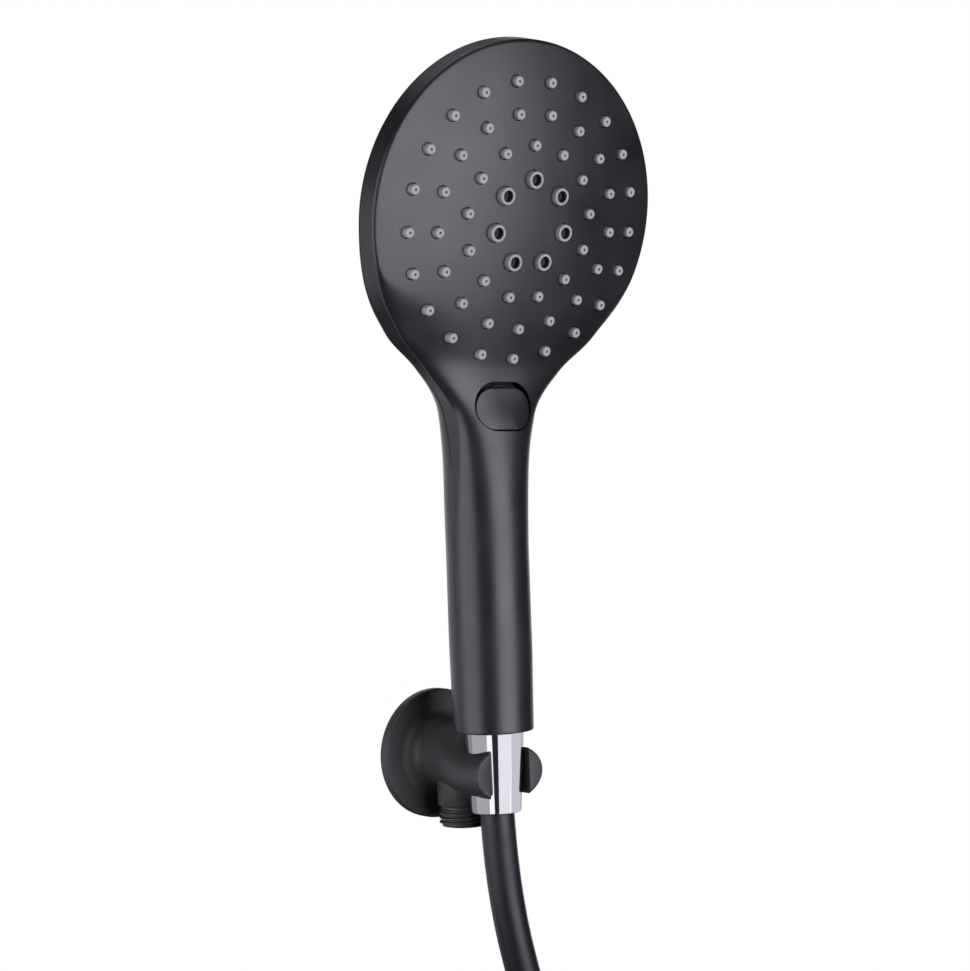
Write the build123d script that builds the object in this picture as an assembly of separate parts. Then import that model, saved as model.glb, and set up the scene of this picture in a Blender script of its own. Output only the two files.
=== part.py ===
from build123d import *

import math
import os

# A handheld shower head on its wall elbow. Millimetres, +Z up, +X right, the user stands at -Y.
# The origin is the centre of the wall flange's back face, and the wall is the plane y = 0.

# Head and face
HEAD_R = 67.6
HEAD_DRAFT = 0.8
HEAD_RAISE = 2.0
HEAD_FOOT_Z = 149.9
HEAD_FOOT_FORWARD = 13.9
FACE_TILT = 14.2
DOME_R = 271.0
RIM_BACK = 13.0
BACK_RISE = 6.0
BACK_FLAT_R = 4.0
FRONT_EDGE_R = 2.6
BACK_EDGE_R = 1.8
SEAM_DEPTH = 12.0
SEAM_GAP = 0.15
LEAST_EDGE_R = 0.4
WALL = 2.4

# Nozzle rings
RING_MARGIN = 13.4
RING_STEP = 12.2
INNER_RING_STEP = 13.0
SMALL_COUNTS = (21, 17, 13)
SMALL_STARTS = (273, 273, 93)
LARGE_COUNT = 7
LARGE_START = 93
NOZZLE_OUT = 2.2
NOZZLE_COLLAR = 0.3
NOZZLE_BASE_R = 2.1
NOZZLE_TIP_R = 1.75
NOZZLE_BORE_R = 0.5
LARGE_BASE_R = 3.5
LARGE_TIP_R = 3.25
LARGE_BORE_R = 2.25
LARGE_BORE_DEPTH = 3.0
LARGE_FEED_R = 1.0
HOLE_CLEARANCE = 0.25

# Layers behind the face, and the water chambers
LAYER_GAP = 0.05
MAT_T = 1.5
PLATE_T = 1.8
CHAMBER_T = 2.2
MANIFOLD_T = 1.8
MAT_RIM_MARGIN = 8.2
MAT_SPLIT_GAP = 0.5
CHAMBER_WALL = 1.6
GASKET_T = 0.6
FEED_R = 1.0
SCREW_ANGLES = (30, 150, 210, 330)
SCREW_R = 1.25
SCREW_HEAD_R = 2.3
SCREW_HEAD_T = 1.6
SCREW_BOSS_R = 2.5
CLAMP_RIB_T = 2.0
CLAMP_RIB_MARGIN = 2.0

# Ducts between the diverter and the chambers
DUCT_PITCH = 8.5
DUCT_BORE_R = 1.6
DUCT_DEPTH = 11.5
SPINE_DEPTH = 14.5
SPINE_HALF = 12.0
SPINE_FOOT = 7.1
SPIGOT_R = 2.6
SPIGOT_LENGTH = 4.0
SPIGOT_COVER = 0.6
GALLERY_HALF = 4.0
GALLERY_DEPTH = 1.5
GALLERY_T = 2.0

# Handle and neck
HANDLE_FROM_WALL = 42.5
HANDLE_R = 16.65
HANDLE_END_R = 16.1
HANDLE_END_Z = 12.5
HANDLE_TAPER_Z = 44.0
FLARE_START_Z = 108.0
FLARE_LENGTH = 50.0
FLARE_WIDTH = 16.25
NECK_TOP_DROP = 20.0
NECK_TOP_HALF = 24.0
NECK_SWELL = 45.0
NECK_BACK_START_Z = 130.0
NECK_SINK = 0.8
NECK_SECTIONS = 15

# Push button and diverter, on an axis along Y
BUTTON_Z = 143.0
BUTTON_W = 27.0
BUTTON_H = 20.0
BUTTON_CORNER_R = 9.4
BUTTON_T = 2.2
BUTTON_FLUSH = 0.1
BUTTON_GAP = 0.5
BUTTON_TRAVEL = 2.5
STOP_GAP = 0.3
COVER_DROP = 7.25
COVER_T = 2.4
HOUSING_R = 12.0
HOUSING_LENGTH = 13.0
CHAMBER_R = 9.5
CHAMBER_DEPTH = 9.0
STEM_R = 3.0
STEM_CLEARANCE = 0.05
STEM_BOSS_T = 1.5
STEM_SINK = 0.5
NOSE_R = 7.2
NOSE_T = 1.5
TOOTH_COUNT = 6
TOOTH_R = 6.0
TOOTH_BAND = 2.0
TOOTH_HEIGHT = 1.6
PRESS_TURN = 60.0
ROTOR_PHASE = 50.0
ROTOR_CLEARANCE = 0.2
ROTOR_WALL = 1.4
ROTOR_FLOOR = 2.4
ROTOR_RIM = 4.3
ROTOR_WINDOW = 5.0
ROTOR_PIN_R = 2.0
PIN_CLEARANCE = 0.05
SEAL_R = 0.58
SPRING_WIRE_R = 0.3
SPRING_TURNS = 2.5
SPRING_STEPS = 8
SPRING_CAP_GAP = 0.9
SPRING_SEAT_GAP = 0.1
SPRING_SMALL_R = 5.6
SPRING_LARGE_R = 8.4

# Water way in the handle
TUBE_R = 6.5
TUBE_BORE_R = 4.5
TUBE_FIT = 0.1
SOCKET_DEPTH = 9.0
SOCKET_WALL = 2.4
SOCKET_SINK = 3.0
SOCKET_DROP = 1.0
TUBE_SEAL_R = 0.6
NIPPLE_LENGTH = 13.5
NIPPLE_FIT = 0.2
NIPPLE_THREAD_LENGTH = 7.5
NIPPLE_GROOVE = 1.4
RIB_T = 1.6
LIMITER_T = 4.0
LIMITER_R = 6.4
LIMITER_HOLES = 6
LIMITER_HOLE_R = 0.8
LIMITER_RING_R = 3.8
WASHER_T = 2.0

# Threads of half-inch pipe size
THREAD_R = 10.478
THREAD_MINOR_R = 9.32
THREAD_PITCH = 1.814
THREAD_FIT = 0.08

# Conical nut, hose and its crimped tail
CONE_TOP_R = 12.15
CONE_END_R = 10.15
CONE_END_Z = -20.2
CONE_LIP = 1.6
CONE_EDGE = 0.4
HOSE_R = 7.0
HOSE_BORE_R = 4.5
TAIL_FLANGE_R = 9.6
TAIL_FLANGE_T = 1.8
TAIL_COLLAR_R = 6.9
TAIL_BARB_R = 4.4
TAIL_BORE_R = 3.2
TAIL_BARB_LENGTH = 12.5
FERRULE_T = 1.25
FERRULE_LENGTH = 13.0
SWIVEL_GAP = 0.3
HOSE_FIT = 0.15

# Hose route: points of the free stretch, then the put-away coil
HOSE_ROUTE = (
    (0.0, -42.5, -4.0),
    (0.0, -42.5, -44.0),
    (14.5, -42.5, -104.0),
    (38.0, -42.5, -156.0),
)
COIL_R = 82.0
COIL_TURNS = 2.5
COIL_PITCH = 15.0
COIL_END_STEP = 8.0
COIL_SAMPLES_PER_TURN = 4
COIL_CHECK_POINTS = 360
ARC_SHARE = 0.45
TIE_WIDTH = 12.0
TIE_T = 1.5
TIE_GAP = 0.4
TIE_FLAT = 0.1

# Far end of the hose
END_NUT_FLATS = 23.0
END_NUT_LENGTH = 16.0
END_NUT_BACK = 3.7
END_NUT_BORE_R = 6.4
END_NUT_START = 5.0
END_FLANGE_R = 9.2
END_FLANGE_T = 2.0
END_NECK_R = 6.0
END_WASHER_T = 1.8
END_WASHER_BORE_R = 4.2
END_WASHER_FIT = 0.1
END_RELIEF_R = 9.6
HEX_CHAMFER = 1.2

# Wall elbow
FLANGE_R = 26.9
FLANGE_T = 4.2
FLANGE_CHAMFER = 0.8
ARM_R = 13.3
ARM_FLARE_R = 6.0
ARM_FLARE_SINK = 0.3
ARM_END_HALF_W = 17.0
ARM_END_HALF_H = 11.4
ARM_END_FORWARD = 10.1
ARM_DROP = 4.0
ARM_STATIONS = (0.04, 0.24, 0.46, 0.68, 0.86, 1.0)
ARM_EASE_START = 0.2
ARM_EASE_LENGTH = 0.6
SLOT_HALF = 9.86
SOCKET_CLEARANCE = 0.12
OUTLET_FROM_HANDLE = 21.7
OUTLET_NECK_R = 10.9
OUTLET_END_Z = -28.0
OUTLET_THREAD_LENGTH = 7.3
OUTLET_RELIEF = 1.2
WATERWAY_R = 6.0
INLET_LENGTH = 13.0
GASKET_IN_R = 20.0
GASKET_OUT_R = 23.5
GASKET_DEPTH = 1.5
GASKET_FIT = 0.05

# Worked-out places
TILT = math.radians(FACE_TILT)
SIN_T = math.sin(TILT)
COS_T = math.cos(TILT)
HANDLE_Y = -HANDLE_FROM_WALL
FACE_N = Vector(0, -COS_T, -SIN_T)
FACE_UP = Vector(0, -SIN_T, COS_T)
FACE_FOOT = Vector(0, HANDLE_Y - HEAD_FOOT_FORWARD, HEAD_FOOT_Z)
HEAD = Plane(FACE_FOOT + FACE_UP * HEAD_R, x_dir=(1, 0, 0), z_dir=FACE_N)
HEAD_Y = HEAD.origin.Y
HEAD_Z = HEAD.origin.Z
OUTER_RING = HEAD_R - RING_MARGIN
SMALL_RINGS = [OUTER_RING - i * RING_STEP for i in range(len(SMALL_COUNTS))]
LARGE_RING = SMALL_RINGS[-1] - INNER_RING_STEP
DOME_RISE = DOME_R - math.sqrt(DOME_R**2 - OUTER_RING**2)
MAT_R = HEAD_R - MAT_RIM_MARGIN
MAT_TOP = WALL + LAYER_GAP
MAT_BACK = MAT_TOP + MAT_T
PLATE_TOP = MAT_BACK + LAYER_GAP
PLATE_BACK = PLATE_TOP + PLATE_T
CHAMBER_BACK = PLATE_BACK + CHAMBER_T
MANIFOLD_BACK = CHAMBER_BACK + MANIFOLD_T
INNER_WALL_R = (SMALL_RINGS[2] + LARGE_RING) / 2
MIDDLE_WALL_R = (SMALL_RINGS[1] + SMALL_RINGS[2]) / 2
SPINE_FOOT_V = -HEAD_R + SPINE_FOOT
BUTTON_FRONT_Y = HANDLE_Y - HANDLE_R
COVER_Y = BUTTON_FRONT_Y + COVER_DROP
HOUSING_Y = COVER_Y + COVER_T
HOUSING_FOOT_Z = BUTTON_Z - HOUSING_R
NIPPLE_TOP_Z = HANDLE_END_Z + NIPPLE_LENGTH
NIPPLE_END_Z = HANDLE_END_Z - NIPPLE_THREAD_LENGTH
FLANGE_TOP_Z = NIPPLE_END_Z - WASHER_T - 2 * NIPPLE_FIT
FLANGE_BASE_Z = FLANGE_TOP_Z - TAIL_FLANGE_T
SHOULDER_Z = FLANGE_BASE_Z - SWIVEL_GAP
HOSE_START_Z = HOSE_ROUTE[0][2]
OUTLET_Y = HANDLE_Y + OUTLET_FROM_HANDLE
ARM_END_Y = HANDLE_Y - ARM_END_FORWARD
FAR = 400.0
PAST = 1.0
SURFACE_STEPS = 8


def save(name, shape):
    """Write one node, as a single solid or as a group of separate solids."""
    solids = shape.solids()
    export_step(solids[0] if len(solids) == 1 else Compound(solids), f"parts/{name}.step")


def disc(radius, low, high):
    """Round bar on the Z axis between two heights."""
    return Pos(0, 0, (low + high) / 2) * Cylinder(radius, high - low)


def ring(inner, outer, low, high):
    """Round tube on the Z axis between two heights."""
    return disc(outer, low, high) - disc(inner, low - PAST, high + PAST)


def turned(points):
    """Solid of revolution about Z from an outline of radius and height."""
    outline = [(radius, 0, height) for radius, height in points]
    return revolve(Face(Wire.make_polygon(outline, close=True)), Axis.Z)


def seal_ring(middle_r, wire_r, height):
    """O-ring lying level at a height."""
    return Pos(0, 0, height) * Torus(middle_r, wire_r)


def on_y(shape, y):
    """Stand a Z-axis shape on the button's axis: its height runs towards the wall from y."""
    return Plane((0, y, BUTTON_Z), x_dir=(1, 0, 0), z_dir=(0, 1, 0)).location * shape


def on_handle(shape):
    """Put a Z-axis shape on the handle's axis."""
    return Pos(0, HANDLE_Y, 0) * shape


def on_head(shape):
    """Put a shape drawn about the face's normal on the head."""
    return HEAD.location * shape


def block(low, high):
    """Box between two corners."""
    size = [b - a for a, b in zip(low, high)]
    middle = [(a + b) / 2 for a, b in zip(low, high)]
    return Pos(*middle) * Box(*size)


# Face surface


def dome_h(radius, depth):
    """Height of the layer that lies at a depth behind the face, at a radius from the head's centre."""
    return DOME_RISE - DOME_R + math.sqrt((DOME_R - depth) ** 2 - radius**2)


def back_h(radius, inset):
    """Height of the head's back, drawn in by an inset, at a radius from its centre."""
    return inset - RIM_BACK - BACK_RISE * (1 - (radius / (HEAD_R + HEAD_DRAFT - inset)) ** 2)


def surface_y(z, height_at):
    """Where the middle line of a head surface stands at a height above the wall flange."""
    v = 0.0
    for _ in range(SURFACE_STEPS):
        h = height_at(abs(v))
        v = (z - HEAD_Z + h * SIN_T) / COS_T
    return HEAD_Y - v * SIN_T - h * COS_T


def dome_layer(inner, outer, top, back):
    """Ring-shaped layer that follows the face between two depths, in the head's own frame."""
    middle = (inner + outer) / 2

    def at(radius, depth):
        """Point of the layer's cross section."""
        return (radius, 0, dome_h(radius, depth))

    edges = [
        Edge.make_three_point_arc(at(inner, top), at(middle, top), at(outer, top)),
        Edge.make_line(at(outer, top), at(outer, back)),
        Edge.make_three_point_arc(at(outer, back), at(middle, back), at(inner, back)),
        Edge.make_line(at(inner, back), at(inner, top)),
    ]
    return revolve(Face(Wire(edges)), Axis.Z)


def ring_places(radius, count, start):
    """Nozzle places of one ring, in the head's frame, with their distance from its centre."""
    for i in range(count):
        angle = math.radians(start + 360 * i / count)
        u = radius * math.cos(angle)
        v = radius * math.sin(angle) - HEAD_RAISE
        yield u, v, math.hypot(u, v)


def small_places():
    """Places of every small nozzle."""
    for radius, count, start in zip(SMALL_RINGS, SMALL_COUNTS, SMALL_STARTS):
        yield from ring_places(radius, count, start)


def large_places():
    """Places of every large nozzle."""
    yield from ring_places(LARGE_RING, LARGE_COUNT, LARGE_START)


# Outer form of the handset


def head_solid(inset):
    """Head as a domed disc with rounded edges, drawn in by an inset on every side."""
    front_r = HEAD_R - inset
    back_r = HEAD_R + HEAD_DRAFT - inset
    middle_r = (back_r + BACK_FLAT_R) / 2
    back_edge = back_h(back_r, inset)
    middle_h = back_h(middle_r, inset)
    flat_h = back_h(BACK_FLAT_R, inset)
    edges = [
        Edge.make_three_point_arc(
            (0, 0, DOME_RISE - inset),
            (front_r / 2, 0, dome_h(front_r / 2, inset)),
            (front_r, 0, dome_h(front_r, inset)),
        ),
        Edge.make_line((front_r, 0, dome_h(front_r, inset)), (back_r, 0, back_edge)),
        Edge.make_three_point_arc((back_r, 0, back_edge), (middle_r, 0, middle_h), (BACK_FLAT_R, 0, flat_h)),
        Edge.make_line((BACK_FLAT_R, 0, flat_h), (0, 0, flat_h)),
        Edge.make_line((0, 0, flat_h), (0, 0, DOME_RISE - inset)),
    ]
    profile = Face(Wire(edges))
    for edge_r, far_end in ((FRONT_EDGE_R, -1), (BACK_EDGE_R, 0)):
        rim = sorted((v for v in profile.vertices() if v.X > BACK_FLAT_R + PAST), key=lambda v: v.Z)
        profile = profile.fillet_2d(max(edge_r - inset, LEAST_EDGE_R), [rim[far_end]])
    return on_head(revolve(profile, Axis.Z))


def neck_half_width(z):
    """Half width of the neck above the handle: a cubic flare, then an ease into the head."""
    share = (z - FLARE_START_Z) / FLARE_LENGTH
    if share <= 1:
        return HANDLE_R + FLARE_WIDTH * share**3
    flare = HANDLE_R + FLARE_WIDTH
    ease = (z - FLARE_START_Z - FLARE_LENGTH) / (neck_top() - FLARE_START_Z - FLARE_LENGTH)
    return flare + (NECK_TOP_HALF - flare) * ease + NECK_SWELL * ease * (1 - ease)


def neck_top():
    """Height at which the neck ends inside the head."""
    return HEAD_Z - NECK_TOP_DROP


def neck_front(z):
    """Front line of the neck: straight up from the handle, then just under the face."""
    return min(BUTTON_FRONT_Y, surface_y(z, lambda r: dome_h(r, 0)) + NECK_SINK)


def neck_back(z):
    """Back line of the neck: straight up from the handle, then an S-curve into the head's back."""
    top = surface_y(neck_top(), lambda r: back_h(r, 0)) - NECK_SINK
    share = min(max((z - NECK_BACK_START_Z) / (neck_top() - NECK_BACK_START_Z), 0), 1)
    return HANDLE_Y + HANDLE_R + (top - HANDLE_Y - HANDLE_R) * share**2 * (3 - 2 * share)


def neck_solid(inset):
    """Handle turned on its axis, and neck as a loft of evenly spaced ellipses, drawn in by an inset."""
    low = HANDLE_END_Z - (PAST if inset else 0)
    handle = turned(
        [
            (0, low),
            (HANDLE_END_R - inset, low),
            (HANDLE_R - inset, HANDLE_TAPER_Z),
            (HANDLE_R - inset, FLARE_START_Z),
            (0, FLARE_START_Z),
        ]
    )
    sections = []
    for i in range(NECK_SECTIONS + 1):
        z = FLARE_START_Z + (neck_top() - FLARE_START_Z) * i / NECK_SECTIONS
        front = neck_front(z) + inset
        back = neck_back(z) - inset
        place = Pos(0, (front + back) / 2, z)
        sections.append(place * Ellipse(neck_half_width(z) - inset, (back - front) / 2))
    return on_handle(handle) + loft(sections)


def front_half(shift):
    """Everything in front of the parting line, which bends from the handle's middle to the rim's back."""
    line_y = HEAD_Y + SEAM_DEPTH * COS_T + shift
    line_z = HEAD_Z + SEAM_DEPTH * SIN_T
    handle_y = HANDLE_Y + shift
    bend = (line_y - handle_y) / SIN_T
    outline = [
        (0, handle_y, -FAR),
        (0, handle_y, line_z + bend * COS_T),
        (0, line_y - FAR * SIN_T, line_z + FAR * COS_T),
        (0, -2 * FAR, line_z + FAR * COS_T),
        (0, -2 * FAR, -FAR),
    ]
    return extrude(Face(Wire.make_polygon(outline, close=True)), amount=FAR, dir=(1, 0, 0), both=True)


def button_prism(margin):
    """Button outline, wider by a margin, carried right through the neck's front."""
    outline = RectangleRounded(BUTTON_W + 2 * margin, BUTTON_H + 2 * margin, BUTTON_CORNER_R + margin)
    prism = extrude(outline, amount=HANDLE_R)
    return on_y(prism, BUTTON_FRONT_Y - 2 * PAST)


def make_shells():
    """Front and rear shells, with nozzle holes, button opening and inlet rib."""
    outer = head_solid(0) + neck_solid(0)
    inner = head_solid(WALL) + neck_solid(WALL)
    rib_z = (HANDLE_END_Z + NIPPLE_TOP_Z) / 2
    rib_r = HANDLE_END_R - WALL - NIPPLE_GROOVE
    rib = ring(rib_r, HANDLE_END_R, rib_z - RIB_T / 2, rib_z + RIB_T / 2)
    body = outer - inner + (on_handle(rib) & neck_solid(WALL / 2))
    small = Cylinder(NOZZLE_BASE_R + HOLE_CLEARANCE, 4 * DOME_RISE)
    large = Cylinder(LARGE_BASE_R + HOLE_CLEARANCE, 4 * DOME_RISE)
    holes = [Pos(u, v, 0) * small for u, v, _ in small_places()]
    holes += [Pos(u, v, 0) * large for u, v, _ in large_places()]
    front = (body & front_half(0)) - [on_head(hole) for hole in holes] - button_prism(BUTTON_GAP)
    return front, body - front_half(SEAM_GAP)


# Spray unit


def nozzle(base_r, tip_r, root):
    """One nozzle with its tip at height 0: straight through the face, then tapered."""
    return turned([(0, -root), (base_r, -root), (base_r, NOZZLE_COLLAR - NOZZLE_OUT), (tip_r, 0), (0, 0)])


def make_nozzle_mat():
    """Silicone mat with the small nozzles."""
    mat = dome_layer(INNER_WALL_R, MAT_R, MAT_TOP, MAT_BACK)
    one = nozzle(NOZZLE_BASE_R, NOZZLE_TIP_R, NOZZLE_OUT + MAT_TOP + MAT_T / 2)
    bore = Cylinder(NOZZLE_BORE_R, 4 * DOME_RISE)
    places = [Pos(u, v, dome_h(r, 0) + NOZZLE_OUT) for u, v, r in small_places()]
    return on_head(mat + [place * one for place in places] - [place * bore for place in places])


def make_massage_nozzles():
    """Silicone insert with the large nozzles: wide mouths over a small feed hole."""
    mat = dome_layer(0, INNER_WALL_R - MAT_SPLIT_GAP, MAT_TOP, MAT_BACK)
    one = nozzle(LARGE_BASE_R, LARGE_TIP_R, NOZZLE_OUT + MAT_TOP + MAT_T / 2)
    bore = disc(LARGE_BORE_R, -LARGE_BORE_DEPTH, PAST) + Cylinder(LARGE_FEED_R, 4 * DOME_RISE)
    places = [Pos(u, v, dome_h(r, 0) + NOZZLE_OUT) for u, v, r in large_places()]
    return on_head(mat + [place * one for place in places] - [place * bore for place in places])


def screw_places():
    """Screws of the spray unit, between the two outer rings."""
    radius = (SMALL_RINGS[0] + SMALL_RINGS[1]) / 2
    for angle in SCREW_ANGLES:
        u = radius * math.cos(math.radians(angle))
        v = radius * math.sin(math.radians(angle)) - HEAD_RAISE
        yield u, v, math.hypot(u, v)


def make_spray_plate():
    """Hard plate behind the mats, with a feed hole for each nozzle and bosses for the screws."""
    plate = dome_layer(0, MAT_R, PLATE_TOP, PLATE_BACK)
    feed = Cylinder(FEED_R, 4 * (DOME_RISE + PLATE_BACK))
    for u, v, r in screw_places():
        foot = dome_h(r - SCREW_BOSS_R, CHAMBER_BACK - 2 * LAYER_GAP)
        boss = disc(SCREW_BOSS_R, foot, dome_h(r, PLATE_BACK - PLATE_T / 2))
        plate += Pos(u, v, 0) * boss
    for u, v, r in screw_places():
        plate -= Pos(u, v, 0) * disc(SCREW_R, -FAR, dome_h(r, PLATE_TOP + PLATE_T / 2))
    return on_head(plate - [Pos(u, v, 0) * feed for u, v, _ in (*small_places(), *large_places())])


def make_manifold():
    """Back of the water chambers: ring walls, a rib against the rear shell, and a spine of three ducts."""
    top = PLATE_BACK + LAYER_GAP
    half = CHAMBER_WALL / 2
    dish = dome_layer(0, MAT_R, CHAMBER_BACK, MANIFOLD_BACK)
    dish += dome_layer(MAT_R - CHAMBER_WALL, MAT_R, top + GASKET_T + LAYER_GAP, MANIFOLD_BACK)
    for radius in (INNER_WALL_R, MIDDLE_WALL_R):
        dish += dome_layer(radius - half, radius + half, top, MANIFOLD_BACK)
    clamp_r = MAT_R - CLAMP_RIB_MARGIN
    seat = back_h(clamp_r, WALL) + STOP_GAP
    clamp = ring(clamp_r - CLAMP_RIB_T, clamp_r, seat, dome_h(clamp_r, MANIFOLD_BACK - MANIFOLD_T / 2))
    dish += clamp - block((-HEAD_R, -HEAD_R, -FAR), (HEAD_R, -HEAD_R / 2, FAR))
    reach = LARGE_RING / 2
    spine = block((-SPINE_HALF, SPINE_FOOT_V, -SPINE_DEPTH), (SPINE_HALF, -reach / 2, 0))
    dish += spine - dome_layer(0, HEAD_R, -DOME_RISE, MANIFOLD_BACK - MANIFOLD_T / 2)
    ends = ((SMALL_RINGS[0] + MIDDLE_WALL_R) / 2, (INNER_WALL_R + MIDDLE_WALL_R) / 2, reach + DUCT_BORE_R)
    up = Plane((0, 0, 0), x_dir=(1, 0, 0), z_dir=(0, 1, 0)).location
    for i in (-1, 0, 1):
        place = Pos(i * DUCT_PITCH, 0, -DUCT_DEPTH) * up
        dish += place * disc(SPIGOT_R, SPINE_FOOT_V - SPIGOT_LENGTH, SPINE_FOOT_V)
    for i, end in enumerate(ends):
        u = (i - 1) * DUCT_PITCH
        place = Pos(u, 0, -DUCT_DEPTH) * up
        dish -= place * disc(DUCT_BORE_R, SPINE_FOOT_V - SPIGOT_LENGTH - PAST, -end)
        rise = dome_h(math.hypot(u, end), CHAMBER_BACK - CHAMBER_T / 2)
        dish -= Pos(u, -end, 0) * disc(DUCT_BORE_R, -DUCT_DEPTH, rise)
    for u, v, _ in screw_places():
        dish -= Pos(u, v, 0) * Cylinder(SCREW_R + LAYER_GAP, FAR)
    return on_head(dish)


def make_manifold_gasket():
    """Flat ring between the spray plate and the manifold's outer wall."""
    top = PLATE_BACK + LAYER_GAP
    return on_head(dome_layer(MAT_R - CHAMBER_WALL, MAT_R, top, top + GASKET_T))


def make_spray_unit_screws():
    """Pan-head screws through the manifold into the spray plate."""
    screws = []
    for u, v, r in screw_places():
        seat = dome_h(r + SCREW_HEAD_R, MANIFOLD_BACK) - LAYER_GAP
        shank = disc(SCREW_R - LAYER_GAP, seat, dome_h(r, PLATE_TOP + PLATE_T / 2) - LAYER_GAP)
        head = disc(SCREW_HEAD_R, seat - SCREW_HEAD_T, seat)
        screws.append(on_head(Pos(u, v, 0) * (head + shank)).solid())
    return Compound(screws)


# Diverter


def make_diverter_housing():
    """Cup for the rotor, with a socket for the water tube below and three duct sockets above."""
    body = on_y(disc(HOUSING_R, 0, HOUSING_LENGTH), HOUSING_Y)
    top_v = SPINE_FOOT_V - STOP_GAP
    foot_v = top_v - HOUSING_R
    back = -SPINE_DEPTH - PAST
    front = -DUCT_DEPTH + SPIGOT_R + SPIGOT_COVER
    body += on_head(block((-SPINE_HALF, foot_v, back), (SPINE_HALF, top_v, front)))
    socket_r = TUBE_R + TUBE_FIT
    socket_z = HOUSING_FOOT_Z - SOCKET_DEPTH - SOCKET_DROP
    body += on_handle(disc(socket_r + SOCKET_WALL, socket_z, HOUSING_FOOT_Z + SOCKET_SINK))
    body -= on_y(disc(HOUSING_R + STOP_GAP, -COVER_T - PAST, 0), HOUSING_Y)
    body -= on_y(disc(CHAMBER_R, -PAST, CHAMBER_DEPTH), HOUSING_Y)
    up = Plane((0, 0, 0), x_dir=(1, 0, 0), z_dir=(0, 1, 0)).location
    for i in (-1, 0, 1):
        place = Pos(i * DUCT_PITCH, 0, -DUCT_DEPTH) * up
        body -= on_head(place * disc(SPIGOT_R + TUBE_FIT, top_v - SPIGOT_LENGTH, top_v + PAST))
        body -= on_head(place * disc(DUCT_BORE_R, foot_v - 2 * PAST, top_v))
    body -= on_handle(disc(socket_r, socket_z - PAST, socket_z + SOCKET_DEPTH))
    body -= on_handle(disc(TUBE_BORE_R, socket_z, HOUSING_FOOT_Z + PAST))
    way_y = HOUSING_Y + STOP_GAP
    way_z = BUTTON_Z - CHAMBER_R + PAST
    foot = HOUSING_FOOT_Z - GALLERY_DEPTH
    body -= block((-GALLERY_HALF, way_y, foot), (GALLERY_HALF, HANDLE_Y, HOUSING_FOOT_Z + PAST))
    body -= block((-GALLERY_HALF, way_y, HOUSING_FOOT_Z), (GALLERY_HALF, HOUSING_Y + GALLERY_T, way_z))
    body += on_y(disc(ROTOR_PIN_R, CHAMBER_DEPTH - STOP_GAP - ROTOR_FLOOR, HOUSING_LENGTH), HOUSING_Y)
    return body - on_handle(seal_groove(TUBE_R, TUBE_SEAL_R, socket_z + SOCKET_DEPTH / 2))


def seal_groove(shaft_r, wire_r, height):
    """Square groove for an O-ring around a shaft."""
    depth = 2 * wire_r + 2 * TUBE_FIT
    half = wire_r + TUBE_FIT
    return ring(shaft_r - PAST, shaft_r + depth, height - half, height + half)


def make_diverter_cover():
    """Front cover of the diverter, bored for the plunger's stem and grooved for its seal."""
    cover = disc(HOUSING_R, 0, COVER_T) - Cylinder(STEM_R + STEM_CLEARANCE, FAR)
    cover -= seal_groove(STEM_R, SEAL_R, COVER_T / 2)
    return on_y(cover, COVER_Y)


def make_stem_seal():
    """O-ring around the plunger's stem."""
    return on_y(seal_ring(STEM_R + SEAL_R + STEM_CLEARANCE, SEAL_R, COVER_T / 2), COVER_Y)


def make_button_cap():
    """Curved cap cut from the neck's own form, clear of the cover when pressed, with a boss for the stem."""
    cap = (neck_solid(BUTTON_FLUSH) - neck_solid(BUTTON_FLUSH + BUTTON_T)) & button_prism(0)
    boss_end = COVER_DROP - BUTTON_TRAVEL - STOP_GAP
    cap -= on_y(disc(HOUSING_R + STOP_GAP, boss_end, COVER_DROP + COVER_T), BUTTON_FRONT_Y)
    boss = ring(STEM_R + STEM_CLEARANCE, STEM_R + STEM_BOSS_T, BUTTON_FLUSH + BUTTON_T / 2, boss_end)
    return cap + on_y(boss, BUTTON_FRONT_Y)


def tooth():
    """One saw tooth as a wedge across the tooth band, its slope matched to the press and turn."""
    slope = BUTTON_TRAVEL / (math.radians(PRESS_TURN) * TOOTH_R)
    length = TOOTH_HEIGHT / slope
    outline = [(0, -length / 2, 0), (0, length / 2, 0), (0, length / 2, TOOTH_HEIGHT)]
    wedge = extrude(Face(Wire.make_polygon(outline, close=True)), amount=TOOTH_BAND, dir=(1, 0, 0))
    return Pos(TOOTH_R - TOOTH_BAND / 2, 0, 0) * wedge


def make_plunger():
    """Stem, nose disc behind the cover and six saw teeth that index the rotor."""
    nose = COVER_T + STOP_GAP
    stem_top = BUTTON_FLUSH + BUTTON_T + STEM_SINK - COVER_DROP
    body = disc(STEM_R, stem_top, nose + NOSE_T / 2)
    body += disc(NOSE_R, nose, nose + NOSE_T)
    for i in range(TOOTH_COUNT):
        body += Rot(0, 0, 360 * i / TOOTH_COUNT) * Pos(0, 0, nose + NOSE_T) * tooth()
    return on_y(body, COVER_Y)


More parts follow.
